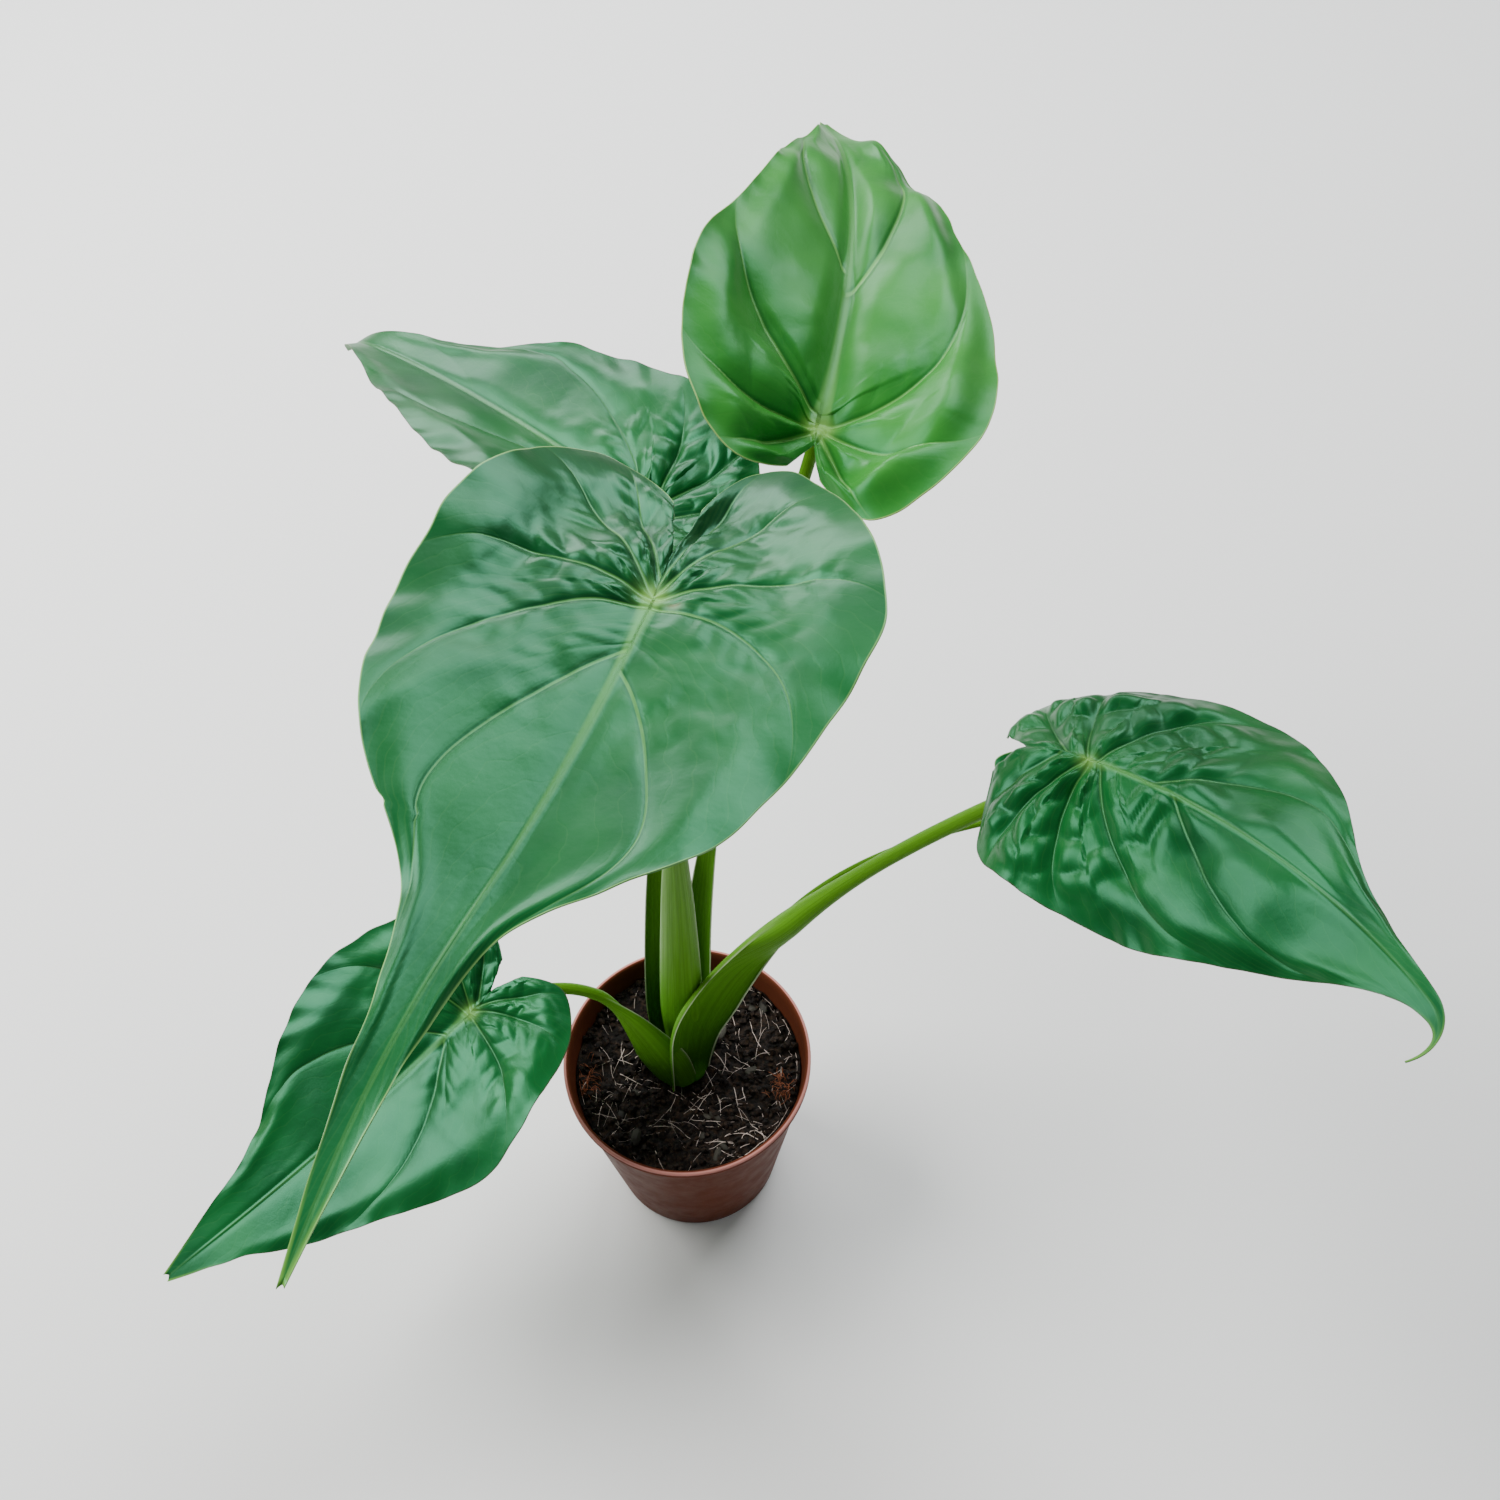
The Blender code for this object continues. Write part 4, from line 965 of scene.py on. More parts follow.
def margin_points(leaf, side, shares):
    """Flat points at these shares of one half's margin."""
    margin = half_outline(leaf, side, MARGIN_STEPS)
    reach = np.linspace(0.0, 1.0, MARGIN_STEPS)
    return np.stack([np.interp(shares, reach, margin[:, axis]) for axis in range(2)], axis=-1)


def rib_roots(leaf, shares):
    """Where along the midrib the ribs start that reach the margin at these shares of its length."""
    roots = [share * leaf["notch"] for share in RIB_NOTCH_ROOTS]
    roots += [share * leaf["length"] for share in RIB_LENGTH_ROOTS]
    ends = [margin_points(leaf, side, shares) for side in ("left", "right")]
    least_slanted = np.minimum(*[end[:, 1] - RIB_SLANT * end[:, 0] for end in ends])
    return np.maximum(np.interp(shares, RIB_MARGIN_SHARES, roots), least_slanted)


def half_blade(leaf, side, shares, across):
    """Flat points of one half on a grid: ribs run across it from the midrib out to the margin."""
    out = margin_points(leaf, side, shares)[:, None]
    start = np.stack([np.zeros_like(shares), rib_roots(leaf, shares)], axis=-1)[:, None]
    chord = out - start
    arch = RIB_ARCH * rise(shares, 0.25, 0.35)[:, None, None]
    bend = 0.5 * (start + out) + arch * np.stack([chord[..., 1], -chord[..., 0]], axis=-1)
    t = across[None, :, None]
    arcs = (1 - t) ** 2 * start + 2 * t * (1 - t) * bend + t ** 2 * out
    along = start[..., 1] + chord[..., 1] * across[None] ** RIB_SWEEP
    margin = half_outline(leaf, side, MARGIN_STEPS)
    ahead = margin[margin[:, 1] >= 0.0]
    width = np.interp(along, ahead[:, 1], ahead[:, 0]) * across[None]
    swept = rise(shares, 0.38, 0.20)[:, None, None]
    return (1.0 - swept) * arcs + swept * np.stack([width, along], axis=-1)


def midrib_frame(leaf, along):
    """Points on the midrib and its three directions: forward, to the right and out of the upper face."""
    reach = np.linspace(MIDRIB_START, 1.0, MIDRIB_STEPS)

    def directions(share):
        ahead = np.clip(share, 0.0, None)
        behind = np.clip(-share, 0.0, None)
        tail = rise(share, leaf["tail_start"], 1.0 - leaf["tail_start"])
        pitch = leaf["pitch"] - leaf["droop"] * ahead ** DROOP_GROWTH
        pitch = pitch + leaf["lobe_bend"] * behind / LOBE_LENGTH_SHARE
        pitch = np.radians(pitch - leaf["tail_droop"] * tail)
        heading = np.radians(leaf["heading"] + leaf["sway"] * ahead + leaf["tail_sway"] * tail)
        roll = np.radians(leaf["roll"] + leaf["twist"] * share)
        forward = np.stack(
            [np.cos(pitch) * np.cos(heading), np.cos(pitch) * np.sin(heading), np.sin(pitch)], axis=-1)
        level = np.stack([np.sin(heading), -np.cos(heading), np.zeros_like(heading)], axis=-1)
        upright = np.cross(level, forward)
        cosine = np.cos(roll)[..., None]
        sine = np.sin(roll)[..., None]
        return forward, cosine * level + sine * upright, cosine * upright - sine * level

    forward = directions(reach)[0]
    step = (reach[1] - reach[0]) * leaf["length"]
    path = np.zeros((len(reach), 3))
    path[1:] = np.cumsum(0.5 * (forward[1:] + forward[:-1]) * step, axis=0)
    path -= np.array([np.interp(0.0, reach, path[:, axis]) for axis in range(3)])
    path += np.array(leaf["junction"])
    share = along / leaf["length"]
    points = np.stack([np.interp(share, reach, path[:, axis]) for axis in range(3)], axis=-1)
    return points, *directions(share)


def bend_blade(leaf, side, flat):
    """Flat blade points carried to their place in space."""
    index = 0 if side == "left" else 1
    sign = -1.0 if side == "left" else 1.0
    width = flat[..., 0]
    along = flat[..., 1]
    points, _, rightward, upward = midrib_frame(leaf, along)
    share = np.clip(along / leaf["length"], 0.0, 1.0)
    behind = np.clip(-along / leaf["length"] / LOBE_LENGTH_SHARE, 0.0, 1.2)
    fold = leaf["fold_at_base"][index] * (1 - share) + leaf["fold_at_tip"][index] * share
    fold = np.radians(fold + leaf["lobe_fold"][index] * behind)
    curl = leaf["curl_at_base"][index] * (1 - share) + leaf["curl_at_tip"][index] * share
    curl = np.radians(curl) / CURL_REACH
    curl = np.where(np.abs(curl) < LEAST_CURL, LEAST_CURL, curl)
    turned_by = fold + curl * width
    across = (np.sin(turned_by) - np.sin(fold)) / curl
    lift = (np.cos(fold) - np.cos(turned_by)) / curl
    return points + (sign * across)[..., None] * rightward + lift[..., None] * upward


def grid_normals(grid):
    """Unit normals of a grid of points, out of the upper face."""
    down = np.gradient(grid, axis=0)
    right = np.gradient(grid, axis=1)
    normal = np.cross(right, down)
    return normal / np.maximum(np.linalg.norm(normal, axis=-1, keepdims=True), 1e-12)


def vein_phase(leaf, side, shares, across):
    """Whole at each side vein; each is given by its shares at the midrib and at the margin."""
    veins = np.array(leaf[side + "_veins"])
    drift = (0.75 * across ** 1.3 + 0.25 * across ** 6)[:, None]
    paths = veins[:, 0] + (veins[:, 1] - veins[:, 0]) * drift
    last = paths[:, -1:]
    knots = np.concatenate([paths[:, :1] - 0.10, paths, 0.5 * (last + 1.0), np.ones_like(last)], axis=1)
    return np.stack([np.interp(shares, row, np.arange(len(row))) for row in knots], axis=1)


def vein_gaps(points, phase, shares, across):
    """Metres from vein to vein at each point, and from the point to the nearest vein."""
    by_share = np.gradient(points, shares, axis=0)
    by_across = np.gradient(points, across, axis=1)
    phase_share = np.gradient(phase, shares, axis=0)
    phase_across = np.gradient(phase, across, axis=1)
    e = (by_share ** 2).sum(-1)
    f = (by_share * by_across).sum(-1)
    g = (by_across ** 2).sum(-1)
    area = np.maximum(e * g - f * f, 1e-12)
    slope = (g * phase_share ** 2 - 2 * f * phase_share * phase_across + e * phase_across ** 2) / area
    spacing = np.minimum(1.0 / np.sqrt(np.maximum(slope, 1.0)), WIDEST_VEIN_SPACING)
    return spacing, np.abs(phase - np.round(phase)) * spacing


def blade_places(leaf, side, shares, across):
    """One half's grid in space, with what its relief, thickness and colours are worked out from.

    Shares from notch to tip are s, and shares from midrib to margin t.
    """
    flat = half_blade(leaf, side, shares, across)
    points = bend_blade(leaf, side, flat)
    phase = vein_phase(leaf, side, shares, across)
    spacing, gap = vein_gaps(points, phase, shares, across)
    width, along = flat[..., 0], flat[..., 1]
    s, t = shares[:, None], across[None, :]
    size = leaf["length"] / TYPICAL_LENGTH
    lobes = fall(s, *LOBES_END)
    taper = np.clip(1.0 - along / leaf["length"], 0.0, 1.0)
    rib_length = np.hypot(width[:, -1:] - width[:, :1], along[:, -1:] - along[:, :1])
    near_hub = np.exp(-np.clip(along, 0, None) / HUB_RIB_REACH)
    return SimpleNamespace(
        index=("left", "right").index(side), seed=leaf["seed"] + len(side), size=size, s=s, t=t,
        points=points, phase=phase, spacing=spacing, gap=gap, width=width, along=along,
        from_hub=np.hypot(width, along), lobes=lobes, body=fall(s, *BODY_ENDS), taper=taper,
        inside=rise(t, *INSIDE_STARTS) * fall(t, *INSIDE_ENDS),
        calm=1.0 - NOTCH_CALM * lobes * fall(rib_length, *NOTCH_CALM_ENDS),
        crumpled=lobes + (1.0 - lobes) * leaf["body_pucker"],
        on_midrib=rise(along, *MIDRIB_STARTS), room=rise(width[:, -1:], *ROOM_STARTS),
        rib_width=(LEAST_RIB_WIDTH + RIB_WIDTH_GAIN * taper + HUB_RIB_WIDTH_GAIN * near_hub) * size,
    )


def vein_strength(leaf, side, at):
    """How strongly the nearest side vein shows: less toward the margin, not at all toward the tip."""
    nearest = np.round(at.phase)
    real = np.where((nearest >= 1) & (nearest <= len(leaf[side + "_veins"])), 1.0, 0.0)
    return real * (1.0 - 0.8 * rise(at.t, *VEINS_THIN)) * fall(at.s, *VEINS_END)


def two_noises(at, wide, long, seed, share):
    """Noise in patches of this size, and a share of noise in patches half as large."""
    finer = soft_noise(at.width / (0.5 * wide), at.along / (0.5 * long), seed + 1)
    return soft_noise(at.width / wide, at.along / long, seed) + share * finer


def vein_relief(leaf, at, strength):
    """Pillows between the side veins, and a wide and a fine groove along each vein."""
    pillow = np.abs(np.sin(math.pi * at.phase)) ** 0.75
    uneven = 0.80 + 0.45 * soft_noise(at.width / PILLOW_PATCH[0], at.along / PILLOW_PATCH[1], at.seed + 2)
    valley = bell(at.gap, leaf["groove_width"] * at.size) * rise(at.t, 0.0, 0.06)
    relief = leaf["pillow"] * pillow * at.inside * uneven * fall(at.s, *PILLOWS_END)
    relief = relief - leaf["groove"] * strength * valley * (1.0 - 0.55 * rise(at.from_hub, 0.03, 0.05))
    return relief - FINE_GROOVE_DEPTH * strength * bell(at.gap, FINE_GROOVE_WIDTH)


def soft_relief(leaf, side, at):
    """Broad waves, lumps round the hub, hollow lobes, swollen sides and a wavy margin."""
    s, t = at.s, at.t
    broad = two_noises(at, *BROAD_WAVE, at.seed + 5, share=0.5)
    relief = leaf["sway_relief"] * broad * rise(t, 0.0, 0.25) * at.body
    bubble = 0.95 * leaf["cell"]
    bubbles = two_noises(at, bubble, bubble, at.seed + 11, share=0.35)
    near_hub = fall(at.from_hub / at.size - leaf["pucker_reach"], 0.010, 0.035)
    relief = relief + leaf["bubbles"] * bubbles * near_hub * at.inside * at.calm
    relief = relief - leaf["bowl"][at.index] * at.lobes * at.calm * bell(t - LOBE_BOWL[0], LOBE_BOWL[1])
    ridge = leaf["lobe_ridge"][at.index] * at.lobes * at.calm
    ridge = ridge + leaf["body_ridge"][at.index] * (1.0 - at.lobes) * at.body
    relief = relief + ridge * bell(t - SIDE_RIDGE[0], SIDE_RIDGE[1])
    wave = np.sin(math.tau * EDGE_WAVES * s + EDGE_WAVE_SHIFTS[at.index]) * fall(s, *WAVES_END)
    relief = relief + leaf["edge_wave"] * wave * t ** 3
    ripple = soft_noise(EDGE_RIPPLES * s, 0.0, at.seed + 8) * t ** 6 * at.body
    relief = relief + EDGE_RIPPLE_HEIGHT * ripple * rise(s, 0.08, 0.10)
    for share, spread, height in leaf.get(side + "_flaps", ()):
        relief = relief + height * bell(s - share, spread) * rise(t, *FLAPS_START)
    return relief


def midrib_relief(leaf, at):
    """A channel with a fine raised rib in it, and a dip at the hub."""
    rib = bell(at.width, at.rib_width) * at.on_midrib
    channel = bell(at.width, CHANNEL_RIB_WIDTHS * at.rib_width) * at.on_midrib * at.room
    relief = RIB_HEIGHT * rib * at.room - leaf["channel"] * channel * (0.35 + 0.65 * at.taper)
    return relief - HUB_DIP * bell(at.from_hub, HUB_DIP_REACH)


def blade_thickness(at, strength):
    """Thin, thinnest at the margin, with the midrib and the side veins standing out below."""
    thickness = EDGE_THICKNESS + (BLADE_THICKNESS - EDGE_THICKNESS) * smooth_step((1.0 - at.t) / 0.05)
    bulge = bell(at.width, MIDRIB_BULGE_RIB_WIDTHS * at.rib_width) * at.on_midrib
    thickness = thickness + MIDRIB_BULGE * at.taper * at.room * bulge
    return thickness + VEIN_BULGE * strength * (1.0 - at.t) * bell(at.gap, VEIN_BULGE_WIDTH)


def blade_half(leaf, side, shares, across):
    """One half of a blade: its points, relief, thickness and the values that its material reads."""
    at = blade_places(leaf, side, shares, across)
    strength = vein_strength(leaf, side, at)
    cross, cross_strength, blisters = cross_wrinkles(leaf, at)
    relief = vein_relief(leaf, at, strength)
    relief = relief + blisters * at.body * at.crumpled * (0.35 + 0.65 * at.calm)
    relief = relief + soft_relief(leaf, side, at) + midrib_relief(leaf, at)
    scar = np.zeros_like(at.phase)
    for wide, far, reach in leaf.get(side + "_scars", ()):
        scar = scar + np.exp(-((at.width - wide) ** 2 + 4.0 * (at.along - far) ** 2) / reach ** 2)
    pale_rib = 0.70 * np.exp(-np.clip(at.along, 0.0, None) / (0.045 * at.size))
    midrib = smooth_step((1.1 - at.width / at.rib_width) / 0.5) * at.on_midrib
    return {
        "points": at.points, "relief": relief, "thickness": blade_thickness(at, strength),
        "phase": at.phase, "across": np.broadcast_to(at.t, at.phase.shape),
        "vein_spacing": at.spacing / MILLIMETRE, "vein_strength": strength,
        "cross": cross, "cross_strength": cross_strength * at.body * at.crumpled,
        "midrib_mask": midrib * (0.30 * at.taper ** 0.3 + pale_rib),
        "edge_gap": np.linalg.norm(at.points - at.points[:, -1:], axis=-1) / MILLIMETRE,
        "hub_mask": bell(at.from_hub, 0.0036 * at.size), "scar": np.clip(scar, 0.0, 1.0),
        "tip": rise(at.along / leaf["length"], *TIP_STARTS),
    }


def hash_cells(first, second, seed):
    """A random number from 0 to 1 for each pair of whole numbers."""
    scrambled = np.sin(first * 12.9898 + second * 78.233 + seed * 37.719) * 43758.5453
    return scrambled - np.floor(scrambled)


def cross_wrinkles(leaf, at):
    """Blisters along the veins, parted by grooves that slant outward from each vein."""
    cell = leaf["cell"]
    gap, phase = at.gap, at.phase
    drift = 0.42 * soft_noise(1.7 * phase, at.from_hub / (1.6 * cell), at.seed)
    side = np.mod(np.floor(phase) + np.floor(2.0 * np.mod(phase, 1.0)), 2.0)
    cross = at.from_hub / cell + 0.35 * (at.from_hub / (3.0 * cell)) ** 0.5
    cross = cross - leaf["slant"] * gap / cell + drift + 0.5 * side
    from_hub = at.from_hub / at.size
    near = rise(from_hub, 0.002, 0.007) * fall(from_hub, leaf["pucker_reach"], 0.028)
    hugging = bell(gap, 1.25 * cell)
    strength = near * hugging * rise(at.t, 0.0, 0.08) * fall(at.t, 0.82, 0.16)
    picked = hash_cells(np.floor(cross), np.round(phase) + 7.0 * side, at.seed)
    blister = np.abs(np.sin(math.pi * cross)) ** 0.85 * (0.20 + 0.80 * picked)
    away = 1.0 - bell(gap, 0.22 * cell)
    fine = np.sin(math.tau * (2.6 * cross + 1.3 * soft_noise(2.0 * phase, at.from_hub / 0.008, at.seed + 4)))
    feather = near * (1.0 - 0.6 * hugging) * soft_noise(1.1 * phase, at.from_hub / 0.022, at.seed + 9) ** 2
    lift = BLISTER_HEIGHT * strength * blister + FEATHER_HEIGHT * feather * fine
    # The second value is how strongly the painted shade shows in the cross grooves
    return cross, 0.8 * strength * away * (0.3 + 0.7 * picked), leaf["pucker"] * at.size * away * lift


def blade_grid(leaf, rows, columns):
    """The whole blade's values on one grid, from left margin to right margin."""
    shares = np.linspace(FIRST_RIB_SHARE, LAST_RIB_SHARE, rows)
    across = np.linspace(0.0, 1.0, columns) ** COLUMN_CROWDING
    across = np.concatenate([across[:-1], [0.5 * (across[-2] + 1.0), LAST_COLUMN, 1.0]])
    left = blade_half(leaf, "left", shares, across)
    right = blade_half(leaf, "right", shares, across)
    joined = {key: np.concatenate([left[key][:, :0:-1], right[key]], axis=1) for key in left}
    joined["phase"][:, :left["phase"].shape[1] - 1] += HALVES_APART
    normals = grid_normals(joined["points"])
    joined["top"] = joined["points"] + joined["relief"][..., None] * normals
    normals = grid_normals(joined["top"])
    joined["bottom"] = joined["top"] - joined["thickness"][..., None] * normals
    return joined


def blade_mesh(name, leaf, rows, columns):
    """Closed thin blade: two grids, one over the other, joined along the margin."""
    grid = blade_grid(leaf, rows, columns)
    height, width = grid["phase"].shape
    shell = bmesh.new()
    bmesh.ops.create_grid(shell, x_segments=width - 1, y_segments=height - 1, size=0.5)
    upper = list(shell.faces)
    bmesh.ops.create_grid(
        shell, x_segments=width - 1, y_segments=height - 1, size=0.5,
        matrix=Matrix.Translation((0.0, 0.0, -MILLIMETRE)))
    done = set(upper)
    bmesh.ops.reverse_faces(shell, faces=[face for face in shell.faces if face not in done])
    bmesh.ops.bridge_loops(shell, edges=[edge for edge in shell.edges if edge.is_boundary])
    mesh = to_mesh(shell, name)
    places = np.concatenate([grid["top"].reshape(-1, 3), grid["bottom"].reshape(-1, 3)])
    mesh.vertices.foreach_set("co", places.astype(np.float32).ravel())
    twice = {key: np.tile(grid[key].ravel(), 2) for key in grid if grid[key].ndim == 2}
    set_uv(mesh, "blade", np.stack([twice["phase"], twice["across"]], axis=-1))
    for key in BLADE_VALUES:
        set_values(mesh, key, twice[key])
    set_values(mesh, "under", np.repeat([0.0, 1.0], len(places) // 2))
    mesh.update()
    mesh.shade_smooth()
    return mesh


# --- stalk shape ----------------------------------------------------------------------------------


def stalk_path(name, count):
    """Centre line of a stalk, from inside the crown into the underside of its blade."""
    stalk = STALKS[name]
    junction, _, _, upward = midrib_frame(LEAVES[name], np.array(0.0))
    start = np.array([*stalk["foot"], SOIL_LEVEL + STALK_FOOT_HEIGHT])
    leaving = np.array(stalk["leaves"])
    leaving = leaving / np.linalg.norm(leaving)
    arriving = np.array(stalk["arrives"])
    arriving = arriving / np.linalg.norm(arriving)
    seat = junction - stalk.get("seat", STALK_SEAT_DEPTH) * upward
    first = start + stalk["straight"] * leaving
    second = seat - stalk["ends"] * arriving
    t = np.linspace(0.0, 1.0, count)[:, None]
    lower = (1 - t) ** 3 * start + 3 * t * (1 - t) ** 2 * first
    path = lower + 3 * t ** 2 * (1 - t) * second + t ** 3 * seat
    path[:, 2] -= STALK_SINK * fall(t[:, 0], 0.0, 0.12)
    return path, arriving


def stalk_section(stalk, share):
    """Closed outline of a stalk at a share of its length, with how near each point is to a sheath edge."""
    swelling = float(fall(share, 0.0, stalk.get("swelling", STALK_SWELLING_SHARE)))
    least, until = stalk.get("gather", STALK_GATHER)
    gathered = least + (1.0 - least) * float(rise(share, 0.0, until))
    radius = stalk["top_radius"] + (stalk["base_radius"] - stalk["top_radius"]) * swelling
    radius *= gathered
    openness = float(fall(share / stalk["sheath"], 0.55, 0.45))
    width = radius * (1.0 + stalk["flare"] * openness)
    deep = radius * (1.0 - openness * (1.0 - stalk.get("depth", 1.0)))
    channel = radius * (1.0 - openness) - (deep - SHEATH_WALL) * openness
    inner = width - SHEATH_EDGE * openness
    half = STALK_SIDES // 2
    extra = 0.5 * openness * math.radians(stalk.get("wrap", SHEATH_WRAP) - SHEATH_WRAP)
    outline = []
    even = np.linspace(0.0, 1.0, half + 1)
    crowded = 0.5 - 0.5 * np.cos(math.pi * even)
    angles = -extra + (math.pi + 2.0 * extra) * (openness * crowded + (1.0 - openness) * even)
    for angle in angles:
        outline.append((width * math.cos(angle), -deep * math.sin(angle), 0.0))
    for angle in angles[::-1][1:-1]:
        outline.append((inner * math.cos(angle), channel * math.sin(angle), openness))
    outline.append(outline[0])
    place = [min(index, abs(index - half), 2 * half - index) for index in range(2 * half + 1)]
    edge = [openness * math.exp(-(step / 1.3) ** 2) for step in place]
    return outline, edge


def stalk_mesh(name):
    """One stalk: a grid rolled into a closed loft."""
    stalk = STALKS[name]
    path, arriving = stalk_path(name, STALK_RINGS)
    tangents = np.gradient(path, axis=0)
    tangents /= np.linalg.norm(tangents, axis=1, keepdims=True)
    tangents[-1] = arriving
    opening = np.array(stalk["opens"])
    travelled = np.concatenate([[0.0], np.cumsum(np.linalg.norm(np.diff(path, axis=0), axis=1))])
    places = []
    around = []
    edges = []
    inners = []
    for index, (centre, tangent) in enumerate(zip(path, tangents)):
        toward = opening - np.dot(opening, tangent) * tangent
        toward /= np.linalg.norm(toward)
        sideways = np.cross(tangent, toward)
        outline, edge = stalk_section(stalk, index / (STALK_RINGS - 1))
        for side, ((x, y, inner), near) in enumerate(zip(outline, edge)):
            places.append(centre + x * sideways + y * toward)
            around.append((side / STALK_SIDES, travelled[index]))
            edges.append(near)
            inners.append(inner)
    tube = bmesh.new()
    bmesh.ops.create_grid(tube, x_segments=STALK_SIDES, y_segments=STALK_RINGS - 1, size=0.5)
    mesh = to_mesh(tube, "stalk_" + name)
    mesh.vertices.foreach_set("co", np.array(places, dtype=np.float32).ravel())
    set_uv(mesh, "stalk", np.array(around))
    set_values(mesh, "edge", np.array(edges))
    share = np.repeat(np.linspace(0.0, 1.0, STALK_RINGS), STALK_SIDES + 1)
    # Painted shade: darker toward the foot of each stalk and on the inner faces of the sheaths
    low = fall(share, 0.0, 0.30)
    set_values(mesh, "shade", np.clip(0.55 * low + 0.25 * np.array(inners), 0.0, 1.0))
    rolled = bmesh.new()
    rolled.from_mesh(mesh)
    bmesh.ops.remove_doubles(rolled, verts=rolled.verts, dist=1e-6)
    bmesh.ops.holes_fill(rolled, edges=[edge for edge in rolled.edges if edge.is_boundary], sides=0)
    bmesh.ops.recalc_face_normals(rolled, faces=rolled.faces)
    rolled.to_mesh(mesh)
    rolled.free()
    mesh.shade_smooth()
    mesh.set_sharp_from_angle(angle=math.radians(55))
    return mesh


def turned_mesh(name, profile, sides):
    """A closed mesh spun about Z from (radius, z) points that run from axis to axis."""
    lathe = bmesh.new()
    line = [lathe.verts.new((radius, 0.0, z)) for radius, z in profile]
    edges = [lathe.edges.new(pair) for pair in zip(line, line[1:])]
    bmesh.ops.spin(
        lathe, geom=line + edges, axis=(0, 0, 1), cent=(0, 0, 0), angle=math.tau, steps=sides,
        use_merge=True)
    bmesh.ops.remove_doubles(lathe, verts=lathe.verts, dist=1e-6)
    bmesh.ops.recalc_face_normals(lathe, faces=lathe.faces)
    return to_mesh(lathe, name)


# --- operators ------------------------------------------------------------------------------------


class TARO_OT_stage(bpy.types.Operator):
    """Add the floor, the light and the camera"""

    bl_idname = "taro.stage"
    bl_label = "Stage"

    def execute(self, context):
        settings = context.scene.taro_stage
        ground = bmesh.new()
        bmesh.ops.create_grid(ground, x_segments=1, y_segments=1, size=0.5 * settings.floor_size)
        floor = add_object("floor", to_mesh(ground, "floor"))
        material, _, shader = new_material("floor", 0.75, 0.3)
        shader.inputs["Base Color"].default_value = (*settings.floor, 1.0)
        floor.data.materials.append(material)
        self.add_lights(context)
        self.add_camera(context, settings)
        return {"FINISHED"}

    def add_lights(self, context):
        """A soft sky, two windows behind the plant and a broad light from the left."""
        world = bpy.data.worlds.new("studio")
        world.use_nodes = True
        context.scene.world = world
        background = world.node_tree.nodes["Background"]
        background.inputs["Color"].default_value = SKY_COLOUR
        background.inputs["Strength"].default_value = SKY_STRENGTH
        for name, place, target, size, energy, tint in LIGHTS:
            data = bpy.data.lights.new(name, "AREA")
            data.shape = "RECTANGLE"
            data.size, data.size_y = size
            data.energy = energy
            data.color = tint
            lamp = add_object(name, data)
            lamp.location = place
            lamp.rotation_euler = (Vector(target) - Vector(place)).to_track_quat("-Z", "Y").to_euler()

    def add_camera(self, context, settings):
        """The camera of the photograph: from the front, looking down."""
        data = bpy.data.cameras.new("camera")
        data.lens = settings.lens
        data.sensor_width = SENSOR_WIDTH
        data.sensor_fit = "HORIZONTAL"
        camera = add_object("camera", data)
        pitch = math.radians(CAMERA_PITCH)
        tilt = math.radians(CAMERA_TILT)
        up = Vector((0.0, math.sin(pitch), math.cos(pitch)))
        ahead = Vector((0.0, math.cos(pitch), -math.sin(pitch)))
        right = Vector((1.0, 0.0, 0.0))
        across = right * math.cos(tilt) + up * math.sin(tilt)
        upward = up * math.cos(tilt) - right * math.sin(tilt)
        turn = Matrix((across, upward, -ahead)).transposed()
        camera.matrix_world = Matrix.Translation(CAMERA_PLACE) @ turn.to_4x4()
        context.scene.camera = camera


class TARO_OT_blades(bpy.types.Operator):
    """Build the leaf blades"""

    bl_idname = "taro.blades"
    bl_label = "Blades"

    def execute(self, context):
        settings = context.scene.taro_leaf
        group = vein_lines_group()
        materials = {name: blade_material(name, group, settings) for name in BLADE_FINISHES}
        for name, leaf in LEAVES.items():
            coarser = 2 if name == "young" else 1
            mesh = blade_mesh(name + "_blade", leaf, settings.rows // coarser, settings.columns // coarser)
            finish = leaf["finish"]
            slot = "young_leaf" if finish == "young_leaf" else "leaf"
            finish_piece(name + "_blade", mesh, materials[finish], slot, "blade_" + name)
        return {"FINISHED"}


